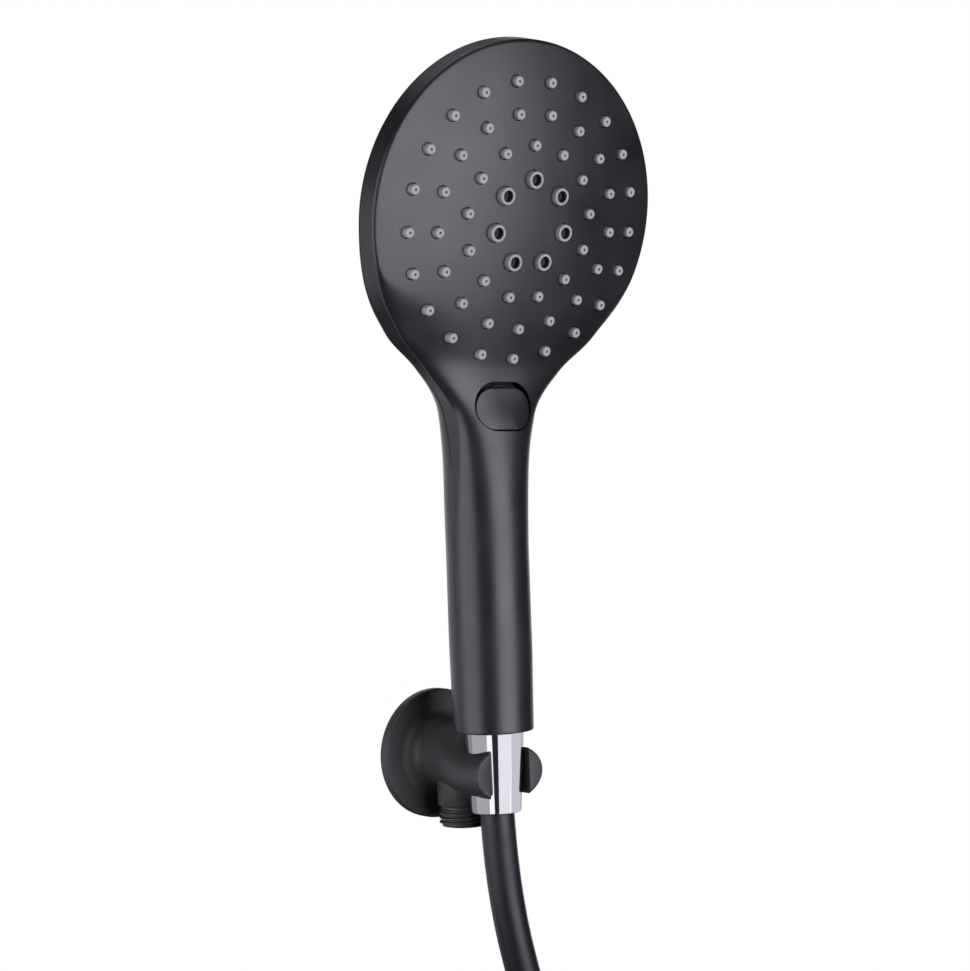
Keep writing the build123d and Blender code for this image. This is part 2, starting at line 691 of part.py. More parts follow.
def make_diverter_rotor():
    """Drum valve: a floor with saw teeth, and a wall with two windows that open one duct at a time."""
    floor_back = CHAMBER_DEPTH - STOP_GAP
    floor = floor_back - ROTOR_FLOOR
    outer = CHAMBER_R - ROTOR_CLEARANCE
    body = disc(outer, floor, floor_back)
    body += ring(outer - ROTOR_WALL, outer, floor - ROTOR_RIM, floor)
    half = ROTOR_WINDOW / 2
    body -= block((-half, -HOUSING_R, floor - ROTOR_RIM + PAST), (half, HOUSING_R, floor))
    for i in range(TOOTH_COUNT):
        turn = Rot(0, 0, ROTOR_PHASE + 360 * i / TOOTH_COUNT)
        body += turn * Pos(0, 0, floor) * Rot(180, 0, 0) * tooth()
    body -= Cylinder(ROTOR_PIN_R + PIN_CLEARANCE, FAR)
    return on_y(body, HOUSING_Y)


def biarc_path(points, tangents):
    """Smooth path through points: two tangent circular arcs for each span."""
    edges = []
    for p, q, t, s in zip(points, points[1:], tangents, tangents[1:]):
        chord = q - p
        both = t + s
        spread = 2 * (1 - t.dot(s))
        lean = chord.dot(both)
        reach = (math.sqrt(lean**2 + spread * chord.dot(chord)) - lean) / spread
        middle = (p + t * reach + q - s * reach) * 0.5
        edges.append(Edge.make_tangent_arc(p, t, middle))
        edges.append(Edge.make_tangent_arc(q, s * -1, middle).reversed())
    return edges


def make_button_spring():
    """Conical return spring between the cap and the diverter cover."""
    low = BUTTON_FLUSH + BUTTON_T + SPRING_CAP_GAP + SPRING_WIRE_R
    high = COVER_DROP - SPRING_WIRE_R - SPRING_SEAT_GAP
    count = round(SPRING_STEPS * SPRING_TURNS)
    turns = 2 * math.pi * SPRING_TURNS
    growth = (SPRING_LARGE_R - SPRING_SMALL_R) / turns
    climb = (high - low) / turns
    points = []
    tangents = []
    for i in range(count + 1):
        angle = turns * i / count
        cos = math.cos(angle)
        sin = math.sin(angle)
        radius = SPRING_SMALL_R + growth * angle
        points.append(Vector(radius * cos, radius * sin, low + climb * angle))
        tangents.append(Vector(growth * cos - radius * sin, growth * sin + radius * cos, climb).normalized())
    path = Wire(biarc_path(points, tangents))
    section = Plane(points[0], z_dir=tangents[0]) * Circle(SPRING_WIRE_R)
    return on_y(sweep(section, path=path), BUTTON_FRONT_Y)


# Water way in the handle


def make_water_tube():
    """Tube from the inlet nipple up to the diverter."""
    top = HOUSING_FOOT_Z - SOCKET_DROP - TUBE_FIT
    return on_handle(ring(TUBE_BORE_R, TUBE_R, NIPPLE_TOP_Z - SOCKET_DEPTH + TUBE_FIT, top))


def make_tube_seals():
    """O-rings at both ends of the water tube."""
    heights = (NIPPLE_TOP_Z - SOCKET_DEPTH / 2, HOUSING_FOOT_Z - SOCKET_DROP - SOCKET_DEPTH / 2)
    middle_r = TUBE_R + TUBE_SEAL_R + TUBE_FIT / 2
    return Compound([on_handle(seal_ring(middle_r, TUBE_SEAL_R, z)).solid() for z in heights])


def make_inlet_nipple():
    """Plug held by the shells' rib, with the tube's socket above and the pipe thread below."""
    rib_z = (HANDLE_END_Z + NIPPLE_TOP_Z) / 2
    plug_r = HANDLE_END_R - WALL - NIPPLE_FIT
    half = RIB_T / 2 + TUBE_FIT
    body = disc(plug_r, HANDLE_END_Z, NIPPLE_TOP_Z)
    body -= ring(plug_r - NIPPLE_GROOVE, plug_r + PAST, rib_z - half, rib_z + half)
    body += disc(THREAD_R, NIPPLE_END_Z, HANDLE_END_Z)
    body -= disc(TUBE_R + TUBE_FIT, NIPPLE_TOP_Z - SOCKET_DEPTH, NIPPLE_TOP_Z + PAST)
    body -= disc(TUBE_BORE_R, NIPPLE_END_Z - PAST, NIPPLE_TOP_Z)
    limiter_top = NIPPLE_END_Z + LIMITER_T + 2 * TUBE_FIT
    body -= disc(LIMITER_R + TUBE_FIT, NIPPLE_END_Z - PAST, limiter_top)
    body -= seal_groove(TUBE_R, TUBE_SEAL_R, NIPPLE_TOP_Z - SOCKET_DEPTH / 2)
    return on_handle(body)


def make_flow_limiter():
    """Small disc with metering holes, in the mouth of the nipple."""
    low = NIPPLE_END_Z + TUBE_FIT
    body = disc(LIMITER_R, low, low + LIMITER_T)
    hole = Pos(LIMITER_RING_R, 0, 0) * Cylinder(LIMITER_HOLE_R, FAR)
    spots = [Rot(0, 0, 360 * i / LIMITER_HOLES) for i in range(LIMITER_HOLES)]
    return on_handle(body - [spot * hole for spot in spots])


def make_inlet_washer():
    """Rubber washer between the nipple and the hose tail."""
    high = NIPPLE_END_Z - NIPPLE_FIT
    return on_handle(ring(TUBE_BORE_R, THREAD_R - NIPPLE_FIT, high - WASHER_T, high))


def cone_r(z):
    """Radius of the conical nut at a height."""
    share = (z - CONE_END_Z) / (HANDLE_END_Z - CONE_END_Z)
    return CONE_END_R + (CONE_TOP_R - CONE_END_R) * share


def make_cone_nut():
    """Conical nut: thread cavity above a shoulder, room for the ferrule and a lip around the hose."""
    top = HANDLE_END_Z - NIPPLE_FIT
    lip_z = CONE_END_Z + CONE_LIP
    body = turned(
        [
            (0, CONE_END_Z),
            (cone_r(CONE_END_Z) - CONE_EDGE, CONE_END_Z),
            (cone_r(CONE_END_Z + CONE_EDGE), CONE_END_Z + CONE_EDGE),
            (cone_r(top - CONE_EDGE), top - CONE_EDGE),
            (cone_r(top) - CONE_EDGE, top),
            (0, top),
        ]
    )
    body -= disc(THREAD_R + THREAD_FIT, SHOULDER_Z, top + PAST)
    body -= disc(HOSE_R + HOSE_FIT + FERRULE_T + SWIVEL_GAP, lip_z, SHOULDER_Z + PAST)
    body -= disc(HOSE_R + SWIVEL_GAP, CONE_END_Z - PAST, lip_z + PAST)
    return on_handle(body)


# Hose and its fittings


def make_hose_tail():
    """Flanged tail that the nut clamps, with a barb inside the hose."""
    body = disc(TAIL_FLANGE_R, FLANGE_BASE_Z, FLANGE_TOP_Z)
    body += disc(TAIL_COLLAR_R, HOSE_START_Z + HOSE_FIT, FLANGE_BASE_Z)
    body += disc(TAIL_BARB_R, HOSE_START_Z - TAIL_BARB_LENGTH, HOSE_START_Z + PAST)
    return on_handle(body - Cylinder(TAIL_BORE_R, FAR))


def make_hose_ferrule():
    """Crimped sleeve around the hose on the tail's barb."""
    inner = HOSE_R + HOSE_FIT
    return on_handle(ring(inner, inner + FERRULE_T, HOSE_START_Z - FERRULE_LENGTH, HOSE_START_Z))


def hose_section(origin, direction):
    """Ring-shaped cross section of the hose."""
    return Plane(origin, z_dir=direction) * (Circle(HOSE_R) - Circle(HOSE_BORE_R))


def report_tube(name, tube, length):
    """Print a tube's volume beside its section times its length."""
    expected = math.pi * (HOSE_R**2 - HOSE_BORE_R**2) * length
    print(f"{name}: volume {tube.volume:.0f}, section times length {expected:.0f}, length {length:.0f}")


def make_hose():
    """Free stretch: straight runs joined by the largest arcs that they allow."""
    points = [Vector(*p) for p in HOSE_ROUTE]
    runs = [b - a for a, b in zip(points, points[1:])]
    radii = []
    for a, b in zip(runs, runs[1:]):
        turn = math.radians(a.get_angle(b))
        radii.append(ARC_SHARE * min(a.length, b.length) / math.tan(turn / 2))
    print("hose radii", [round(r) for r in radii])
    path = FilletPolyline(*points, radius=radii)
    tube = sweep(hose_section(points[0], runs[0]), path=path)
    report_tube("hose", tube, path.length)
    return tube


def coil_line():
    """Points and directions of the coil: tangent to the last run, then forward a pitch each turn."""
    end = Vector(*HOSE_ROUTE[-1])
    run = (end - Vector(*HOSE_ROUTE[-2])).normalized()
    start = end + run * (2 * HOSE_R)
    first = math.atan2(run.X, -run.Z)
    centre = start - Vector(math.cos(first), 0, math.sin(first)) * COIL_R
    total = 2 * math.pi * COIL_TURNS

    def forward(angle):
        """Distance in front of the start: eased in and out over half a turn, steady between."""
        rate = COIL_PITCH / (2 * math.pi)
        half = COIL_PITCH / 2
        if angle < math.pi:
            t = angle / math.pi
            return half * (2 * t**2 - t**3), half * (4 * t - 3 * t**2) / math.pi
        if angle <= total - math.pi:
            return rate * angle, rate
        t = (angle - total + math.pi) / math.pi
        last = half + COIL_END_STEP
        rise = half * (t**3 - 2 * t**2 + t) + last * (3 * t**2 - 2 * t**3)
        slope = half * (3 * t**2 - 4 * t + 1) + last * (6 * t - 6 * t**2)
        return rate * (total - math.pi) + rise, slope / math.pi

    def place(angle):
        """Point and unit direction of the coil at an angle wound."""
        phi = first - angle
        ahead, slope = forward(angle)
        point = centre + Vector(COIL_R * math.cos(phi), -ahead, COIL_R * math.sin(phi))
        return point, Vector(COIL_R * math.sin(phi), -slope, -COIL_R * math.cos(phi)).normalized()

    return end, centre, total, place


def make_hose_coil():
    """Put-away length of the hose, one unbroken tube with straight ends."""
    end, _, total, place = coil_line()
    count = round(COIL_SAMPLES_PER_TURN * COIL_TURNS)
    stations = [place(total * i / count) for i in range(count + 1)]
    points = [point for point, _ in stations]
    tangents = [tangent for _, tangent in stations]
    finish = points[-1] + tangents[-1] * (2 * HOSE_R)
    lead_in = Edge.make_line(end, points[0])
    lead_out = Edge.make_line(points[-1], finish)
    path = Wire([lead_in, *biarc_path(points, tangents), lead_out])
    tube = sweep(hose_section(end, tangents[0]), path=path)
    report_tube("hose coil", tube, path.length)
    dense = [place(total * i / COIL_CHECK_POINTS)[0] for i in range(COIL_CHECK_POINTS + 1)]
    apart = round(COIL_CHECK_POINTS / COIL_TURNS / 2)
    gap = min((a - b).length for i, a in enumerate(dense) for b in dense[i + apart :]) - 2 * HOSE_R
    print("hose coil least gap to itself", round(gap, 2))
    return tube


def make_coil_tie():
    """Strap around the three strands at the side of the coil."""
    _, centre, _, place = coil_line()
    run = Vector(*HOSE_ROUTE[-1]) - Vector(*HOSE_ROUTE[-2])
    first = math.atan2(run.X, -run.Z)
    near, _ = place(first)
    far, _ = place(first + 4 * math.pi)
    reach = HOSE_R + TIE_GAP
    deep = abs(near.Y - far.Y) + 2 * reach
    outline = RectangleRounded(2 * (reach + TIE_T), deep + 2 * TIE_T, reach + TIE_T - TIE_FLAT)
    outline -= RectangleRounded(2 * reach, deep, reach - TIE_FLAT)
    place_of_tie = Pos((near.X + far.X) / 2, (near.Y + far.Y) / 2, centre.Z - TIE_WIDTH / 2)
    return place_of_tie * extrude(outline, amount=TIE_WIDTH)


def hose_end():
    """Plane at the hose's far end, looking out along it."""
    _, _, total, place = coil_line()
    point, tangent = place(total)
    return Plane(point + tangent * (2 * HOSE_R), z_dir=tangent)


def make_end_tail():
    """Tail at the far end: barb, collar, neck for the nut and flange."""
    flange = END_NUT_START + END_NUT_BACK + SWIVEL_GAP
    body = disc(TAIL_BARB_R, -TAIL_BARB_LENGTH, PAST)
    body += disc(TAIL_COLLAR_R, HOSE_FIT, END_NUT_START - PAST)
    body += disc(END_NECK_R, PAST, flange + PAST)
    body += disc(END_FLANGE_R, flange, flange + END_FLANGE_T)
    return hose_end().location * (body - Cylinder(TAIL_BORE_R, FAR))


def make_end_ferrule():
    """Crimped sleeve at the far end."""
    inner = HOSE_R + HOSE_FIT
    return hose_end().location * ring(inner, inner + FERRULE_T, -FERRULE_LENGTH, 0)


def make_end_nut():
    """Hexagonal swivel nut with a female pipe thread."""
    length = END_NUT_LENGTH
    prism = extrude(RegularPolygon(END_NUT_FLATS / 2, 6, major_radius=False), amount=length)
    corner = END_NUT_FLATS / math.sqrt(3)
    flat = END_NUT_FLATS / 2
    bevel = turned(
        [
            (0, 0),
            (flat, 0),
            (corner, HEX_CHAMFER),
            (corner, length - HEX_CHAMFER),
            (flat, length),
            (0, length),
        ]
    )
    body = (prism & bevel) - Cylinder(END_NUT_BORE_R, FAR)
    relief = END_NUT_BACK + SWIVEL_GAP + END_FLANGE_T + SWIVEL_GAP + END_WASHER_T
    body -= disc(END_RELIEF_R, END_NUT_BACK, relief)
    body -= disc(THREAD_MINOR_R, END_NUT_BACK, length + PAST)
    return hose_end().location * Pos(0, 0, END_NUT_START) * body


def make_end_washer():
    """Rubber washer in the swivel nut."""
    low = END_NUT_START + END_NUT_BACK + 2 * SWIVEL_GAP + END_FLANGE_T
    outer = END_RELIEF_R - END_WASHER_FIT
    return hose_end().location * ring(END_WASHER_BORE_R, outer, low, low + END_WASHER_T)


# Wall elbow


def thread_ridges(low, high):
    """Pipe thread as a stack of ridges with flat crests, on the Z axis."""
    count = int((high - low) / THREAD_PITCH)
    crest = THREAD_PITCH / 6
    points = [(0, low), (THREAD_MINOR_R, low)]
    for i in range(count):
        middle = low + (i + 0.5) * (high - low) / count
        rise = (high - low) / count / 2 - crest
        points += [(THREAD_MINOR_R, middle - rise), (THREAD_R, middle - crest / 2)]
        points += [(THREAD_R, middle + crest / 2), (THREAD_MINOR_R, middle + rise)]
    return turned([*points, (THREAD_MINOR_R, high), (0, high)])


def make_wall_elbow():
    """Flange, drooping arm, open conical holder and threaded outlet, with the water way drilled in."""
    away = Plane((0, 0, 0), x_dir=(1, 0, 0), z_dir=(0, -1, 0)).location
    flange = turned(
        [
            (0, 0),
            (FLANGE_R, 0),
            (FLANGE_R, FLANGE_T - FLANGE_CHAMFER),
            (FLANGE_R - FLANGE_CHAMFER, FLANGE_T),
            (0, FLANGE_T),
        ]
    )
    flare_r = ARM_FLARE_R + ARM_FLARE_SINK
    root_r = ARM_R - ARM_FLARE_SINK
    foot_r = root_r + flare_r
    bend = flare_r * (1 - math.sqrt(0.5))
    middle = (root_r + bend, 0, FLANGE_T + bend)
    top = FLANGE_T + flare_r
    edges = [
        Edge.make_line((0, 0, FLANGE_T), (foot_r, 0, FLANGE_T)),
        Edge.make_three_point_arc((foot_r, 0, FLANGE_T), middle, (root_r, 0, top)),
        Edge.make_line((root_r, 0, top), (0, 0, top)),
        Edge.make_line((0, 0, top), (0, 0, FLANGE_T)),
    ]
    body = away * (flange + revolve(Face(Wire(edges)), Axis.Z))
    reach = -ARM_END_Y
    sections = []
    for share in ARM_STATIONS:
        ease = min(max((share - ARM_EASE_START) / ARM_EASE_LENGTH, 0), 1)
        ease = ease**2 * (3 - 2 * ease)
        half_w = ARM_R + (ARM_END_HALF_W - ARM_R) * ease
        half_h = ARM_R + (ARM_END_HALF_H - ARM_R) * ease
        spot = Plane((0, -reach * share, -ARM_DROP * ease), x_dir=(1, 0, 0), z_dir=(0, -1, 0))
        sections.append(spot * Ellipse(half_w, half_h))
    body += loft(sections)
    thread_top = OUTLET_END_Z + OUTLET_THREAD_LENGTH
    outlet = disc(OUTLET_NECK_R, thread_top + OUTLET_RELIEF, -ARM_DROP)
    outlet += disc(THREAD_MINOR_R, thread_top, -ARM_DROP)
    outlet += thread_ridges(OUTLET_END_Z, thread_top)
    body += Pos(0, OUTLET_Y, 0) * outlet
    low = CONE_END_Z
    high = HANDLE_END_Z
    low_r = cone_r(low) + SOCKET_CLEARANCE
    high_r = cone_r(high) + SOCKET_CLEARANCE
    body -= on_handle(turned([(0, low), (low_r, low), (high_r, high), (0, high)]))
    body -= block((-SLOT_HALF, ARM_END_Y - PAST, -FAR), (SLOT_HALF, HANDLE_Y, FAR))
    body -= away * disc(THREAD_MINOR_R, -PAST, INLET_LENGTH)
    body -= away * disc(WATERWAY_R, 0, -OUTLET_Y)
    body -= Pos(0, OUTLET_Y, 0) * (disc(WATERWAY_R, OUTLET_END_Z - PAST, 0) + Sphere(WATERWAY_R))
    return body - away * ring(GASKET_IN_R, GASKET_OUT_R, -PAST, GASKET_DEPTH)


def make_wall_gasket():
    """Flat rubber ring let into the flange's back."""
    away = Plane((0, 0, 0), x_dir=(1, 0, 0), z_dir=(0, -1, 0)).location
    return away * ring(GASKET_IN_R + GASKET_FIT, GASKET_OUT_R - GASKET_FIT, 0, GASKET_DEPTH)


def main():
    """Build and write every piece."""
    os.makedirs("parts", exist_ok=True)
    front, rear = make_shells()
    pieces = {
        "front_shell": front,
        "rear_shell": rear,
        "nozzle_mat": make_nozzle_mat(),
        "massage_nozzles": make_massage_nozzles(),
        "spray_plate": make_spray_plate(),
        "manifold": make_manifold(),
        "manifold_gasket": make_manifold_gasket(),
        "spray_unit_screws": make_spray_unit_screws(),
        "diverter_housing": make_diverter_housing(),
        "diverter_cover": make_diverter_cover(),
        "stem_seal": make_stem_seal(),
        "button_cap": make_button_cap(),
        "plunger": make_plunger(),
        "button_spring": make_button_spring(),
        "diverter_rotor": make_diverter_rotor(),
        "water_tube": make_water_tube(),
        "tube_seals": make_tube_seals(),
        "inlet_nipple": make_inlet_nipple(),
        "flow_limiter": make_flow_limiter(),
        "inlet_washer": make_inlet_washer(),
        "cone_nut": make_cone_nut(),
        "hose_tail": make_hose_tail(),
        "hose_ferrule": make_hose_ferrule(),
        "hose": make_hose(),
        "hose_coil": make_hose_coil(),
        "coil_tie": make_coil_tie(),
        "end_tail": make_end_tail(),
        "end_ferrule": make_end_ferrule(),
        "end_nut": make_end_nut(),
        "end_washer": make_end_washer(),
        "wall_elbow": make_wall_elbow(),
        "wall_gasket": make_wall_gasket(),
    }
    for name, shape in pieces.items():
        save(name, shape)


main()
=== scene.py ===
# %% [markdown]
# A black handheld shower head in its wall elbow
#
# The handset stands by its chrome hose nut in the open holder of a wall elbow. The frame gives every
# piece its real place and size, in metres, with the wall at y = 0, the user at -Y and +Z up. This lesson
# makes smooth surfaces for what shows, finishes for every piece, the hose as one curve, and the light.

# %% Load the frame
import bmesh
import bpy
import math
import numpy as np
from mathutils import Matrix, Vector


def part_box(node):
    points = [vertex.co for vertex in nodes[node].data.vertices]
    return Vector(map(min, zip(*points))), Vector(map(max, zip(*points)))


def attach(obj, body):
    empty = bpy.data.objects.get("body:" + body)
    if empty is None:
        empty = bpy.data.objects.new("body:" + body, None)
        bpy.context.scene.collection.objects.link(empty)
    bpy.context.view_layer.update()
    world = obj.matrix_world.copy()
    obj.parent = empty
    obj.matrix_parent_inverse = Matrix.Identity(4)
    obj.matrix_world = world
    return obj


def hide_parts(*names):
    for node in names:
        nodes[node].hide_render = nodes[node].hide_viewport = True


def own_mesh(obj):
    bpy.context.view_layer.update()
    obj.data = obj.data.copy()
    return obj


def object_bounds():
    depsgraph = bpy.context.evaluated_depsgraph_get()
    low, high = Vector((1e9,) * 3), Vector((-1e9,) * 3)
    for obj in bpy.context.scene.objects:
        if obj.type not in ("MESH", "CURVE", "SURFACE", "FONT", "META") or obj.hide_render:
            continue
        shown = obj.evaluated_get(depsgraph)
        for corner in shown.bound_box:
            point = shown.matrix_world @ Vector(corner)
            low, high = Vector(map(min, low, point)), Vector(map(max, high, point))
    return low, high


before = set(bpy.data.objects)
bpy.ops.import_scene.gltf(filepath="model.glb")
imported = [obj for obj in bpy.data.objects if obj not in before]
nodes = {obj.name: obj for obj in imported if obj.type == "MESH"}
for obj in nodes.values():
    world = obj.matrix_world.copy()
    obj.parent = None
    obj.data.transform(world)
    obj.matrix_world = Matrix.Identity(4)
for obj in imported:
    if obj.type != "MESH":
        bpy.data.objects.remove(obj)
cad_box = [list(corner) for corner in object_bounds()]
MM = 0.001
print("nodes", len(nodes), "box", cad_box)

# %% [markdown]
# The camera
#
# A product photograph is taken from far away with a long lens. The rings of nozzles are circles, so their
# ellipses give the viewing angle: 37 degrees to the side, level, rolled by two degrees. One known point of
# the face and its pixel then fix where the camera stands.

# %% Camera
VIEW_TURN = math.radians(-37.0)
VIEW_ROLL = math.radians(2.0)
FOCAL_PIXELS = 1959.0
FRAME_PIXELS = 970.0
FRAME_CENTRE = np.array([485.0, 485.5])
FACE_CENTRE = np.array([0.0, -72.5, 213.5])
FACE_CENTRE_PIXEL = np.array([522.1, 222.1])
FACE_DISTANCE = 766.0
SENSOR_WIDTH = 36.0
NEAREST_SEEN = 0.01

forward = np.array([-math.sin(VIEW_TURN), math.cos(VIEW_TURN), 0.0])
level_right = np.array([math.cos(VIEW_TURN), math.sin(VIEW_TURN), 0.0])
upright = np.array([0.0, 0.0, 1.0])
image_right = math.cos(VIEW_ROLL) * level_right - math.sin(VIEW_ROLL) * upright
image_up = math.cos(VIEW_ROLL) * upright + math.sin(VIEW_ROLL) * level_right
across, down = (FACE_CENTRE_PIXEL - FRAME_CENTRE) / FOCAL_PIXELS * FACE_DISTANCE
camera_place = FACE_CENTRE - across * image_right + down * image_up - FACE_DISTANCE * forward

camera_data = bpy.data.cameras.new("camera")
camera_data.sensor_width = SENSOR_WIDTH
camera_data.lens = SENSOR_WIDTH * FOCAL_PIXELS / FRAME_PIXELS
camera_data.clip_start = NEAREST_SEEN
camera = bpy.data.objects.new("camera", camera_data)
turn = Matrix([[*row] for row in np.stack([image_right, image_up, -forward], 1)]).to_4x4()
camera.matrix_world = Matrix.Translation(camera_place * MM) @ turn
bpy.context.scene.collection.objects.link(camera)
bpy.context.scene.camera = camera
print("camera at", np.round(camera_place), "lens", round(camera_data.lens, 1))

# %% [markdown]
# Meshes from arrays
#
# Every new surface is a grid of points: rows run along a profile and columns along a path. Whole arrays
# go into the mesh at once. Points that fall together, such as at a pole, are merged afterwards.

# %% Grid helpers
MERGE = 0.002
NO_LENGTH = 1e-7


def grid_faces(rows, columns, closed):
    """Four-cornered faces of a grid: point (i, j) joins (i, j+1), (i+1, j+1) and (i+1, j)."""
    last = columns if closed else columns - 1
    i, j = np.meshgrid(np.arange(rows - 1), np.arange(last), indexing="ij")
    k = (j + 1) % columns
    low, high = i * columns, (i + 1) * columns
    return np.stack([low + j, low + k, high + k, high + j], -1).reshape(-1, 4)


def grid_object(name, grids):
    """Object from several grids of points in millimetres, each with a flag for closed columns."""
    points, faces, start = [], [], 0
    for grid, closed in grids:
        rows, columns = grid.shape[:2]
        points.append(grid.reshape(-1, 3) * MM)
        faces.append(grid_faces(rows, columns, closed) + start)
        start += rows * columns
    mesh = bpy.data.meshes.new(name)
    mesh.from_pydata(np.concatenate(points), [], np.concatenate(faces).tolist())
    work = bmesh.new()
    work.from_mesh(mesh)
    bmesh.ops.remove_doubles(work, verts=work.verts, dist=MERGE * MM)
    bmesh.ops.dissolve_degenerate(work, edges=work.edges, dist=NO_LENGTH)
    bmesh.ops.recalc_face_normals(work, faces=work.faces)
    work.to_mesh(mesh)
    work.free()
    made = bpy.data.objects.new(name, mesh)
    bpy.context.scene.collection.objects.link(made)
    return made


# %% Piece helpers
def bake_modifiers(made):
    """Put what the modifiers make into the object's own mesh."""
    shaped = bpy.data.meshes.new_from_object(made.evaluated_get(bpy.context.evaluated_depsgraph_get()))
    made.modifiers.clear()
    made.data = shaped
    return made


def carve(made, other, operation="DIFFERENCE"):
    """Cut another object out of this one, or add it, and remove the other."""
    cut = made.modifiers.new("carve", "BOOLEAN")
    cut.operation = operation
    cut.solver = "EXACT"
    cut.object = other
    bake_modifiers(made)
    bpy.data.objects.remove(other)
    return made


def smooth(made, angle=35.0):
    """Smooth shading with sharp edges where faces turn by more than an angle."""
    made.data.shade_smooth()
    made.data.set_sharp_from_angle(angle=math.radians(angle))
    return made


def dress(made, material, body, replaced=()):
    """Give a piece its finish and its body, and let it stand for CAD nodes."""
    made.data.materials.clear()
    made.data.materials.append(material)
    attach(made, body)
    if replaced:
        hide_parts(*replaced)
    print(made.name, len(made.data.polygons) if made.type == "MESH" else "curve")
    return made


# %% Profile helpers
MOST_OF_RUN = 0.49
ALONG_Y = 0.9


def soft_line(corners, radii, steps=5):
    """Profile through corners, each rounded: a curve from one radius before it to one radius after it."""
    corners = np.asarray(corners, float)
    t = np.linspace(0, 1, steps)[:, None]
    line = [corners[:1]]
    for before, corner, after, radius in zip(corners, corners[1:], corners[2:], radii):
        a = corner + (before - corner) * min(radius / np.linalg.norm(before - corner), MOST_OF_RUN)
        b = corner + (after - corner) * min(radius / np.linalg.norm(after - corner), MOST_OF_RUN)
        line.append((1 - t) ** 2 * a + 2 * t * (1 - t) * corner + t**2 * b)
    line.append(corners[-1:])
    return np.concatenate(line)


def axes_of(direction):
    """Three square directions, the last one given."""
    z = np.asarray(direction, float) / np.linalg.norm(direction)
    x = np.cross([0, 1, 0] if abs(z[1]) < ALONG_Y else [1, 0, 0], z)
    x /= np.linalg.norm(x)
    return x, np.cross(z, x), z


def lathe(profile, origin, direction, sides=96):
    """Turned surface: radius times the circle's cosine and sine, plus height along the axis."""
    x, y, z = axes_of(direction)
    angle = np.arange(sides) * 2 * np.pi / sides
    circle = np.cos(angle)[:, None] * x + np.sin(angle)[:, None] * y
    profile = np.asarray(profile, float)
    return np.asarray(origin) + profile[:, None, :1] * circle + profile[:, None, 1:] * z


def block(first, last):
    """Rows of a closed block from one outline to another: each end is closed by a point in its middle."""
    ends = [np.broadcast_to(row.mean(0), row.shape) for row in (first, last)]
    return np.stack([ends[0], first, last, ends[1]])


def smooth_step(t):
    """Ease from 0 to 1: three times the square less twice the cube."""
    t = np.clip(t, 0, 1)
    return t * t * (3 - 2 * t)


def soft_max(a, b, width):
    """Larger of two values, with a rounded corner: (a + b + root((a - b)^2 + width^2)) / 2."""
    return 0.5 * (a + b + np.sqrt((a - b) ** 2 + width**2))


# %% [markdown]
# Finishes
#
# The shells are satin black moulded plastic: almost no colour of their own, and a soft reflection that a
# fine moulded grain spreads out. Chrome is a mirror with faint smears. Each finish takes small changes of
# colour, roughness and height from noise in object coordinates, at the scale of the real thing.

# %% Finish helper
CLOUD_SCALE = 35.0
CLOUD_DETAIL = 4.0
CLOUD_LOW = 0.3
CLOUD_HIGH = 0.7
GRAIN_DETAIL = 3.0
GRAIN_HEIGHT = 0.0005


def finish(name, colour, roughness, metal=0.0, ior=1.5, change=0.15, grain=400.0, bump=0.02, spread=0.05):
    """Material with noise in colour, roughness and height. Grain is noise cells to a metre."""
    material = bpy.data.materials.new(name)
    material.use_nodes = True
    tree = material.node_tree
    shader = tree.nodes["Principled BSDF"]
    shader.inputs["Metallic"].default_value = metal
    shader.inputs["IOR"].default_value = ior
    place = tree.nodes.new("ShaderNodeTexCoord")
    cloud = tree.nodes.new("ShaderNodeTexNoise")
    cloud.inputs["Scale"].default_value = CLOUD_SCALE
    cloud.inputs["Detail"].default_value = CLOUD_DETAIL
    tree.links.new(place.outputs["Object"], cloud.inputs["Vector"])
    ramp = tree.nodes.new("ShaderNodeValToRGB")
    ramp.color_ramp.elements[0].position = CLOUD_LOW
    ramp.color_ramp.elements[0].color = (*[c * (1 - change) for c in colour], 1)
    ramp.color_ramp.elements[1].position = CLOUD_HIGH
    ramp.color_ramp.elements[1].color = (*[c * (1 + change) for c in colour], 1)
    tree.links.new(cloud.outputs["Fac"], ramp.inputs["Fac"])
    tree.links.new(ramp.outputs["Color"], shader.inputs["Base Color"])
    rough = tree.nodes.new("ShaderNodeMapRange")
    rough.inputs["From Min"].default_value = CLOUD_LOW
    rough.inputs["From Max"].default_value = CLOUD_HIGH
    rough.inputs["To Min"].default_value = roughness - spread
    rough.inputs["To Max"].default_value = roughness + spread
    tree.links.new(cloud.outputs["Fac"], rough.inputs["Value"])
    tree.links.new(rough.outputs["Result"], shader.inputs["Roughness"])
    fine = tree.nodes.new("ShaderNodeTexNoise")
    fine.inputs["Scale"].default_value = grain
    fine.inputs["Detail"].default_value = GRAIN_DETAIL
    tree.links.new(place.outputs["Object"], fine.inputs["Vector"])
    height = tree.nodes.new("ShaderNodeBump")
    height.inputs["Strength"].default_value = bump
    height.inputs["Distance"].default_value = GRAIN_HEIGHT
    tree.links.new(fine.outputs["Fac"], height.inputs["Height"])
    tree.links.new(height.outputs["Normal"], shader.inputs["Normal"])
    return material


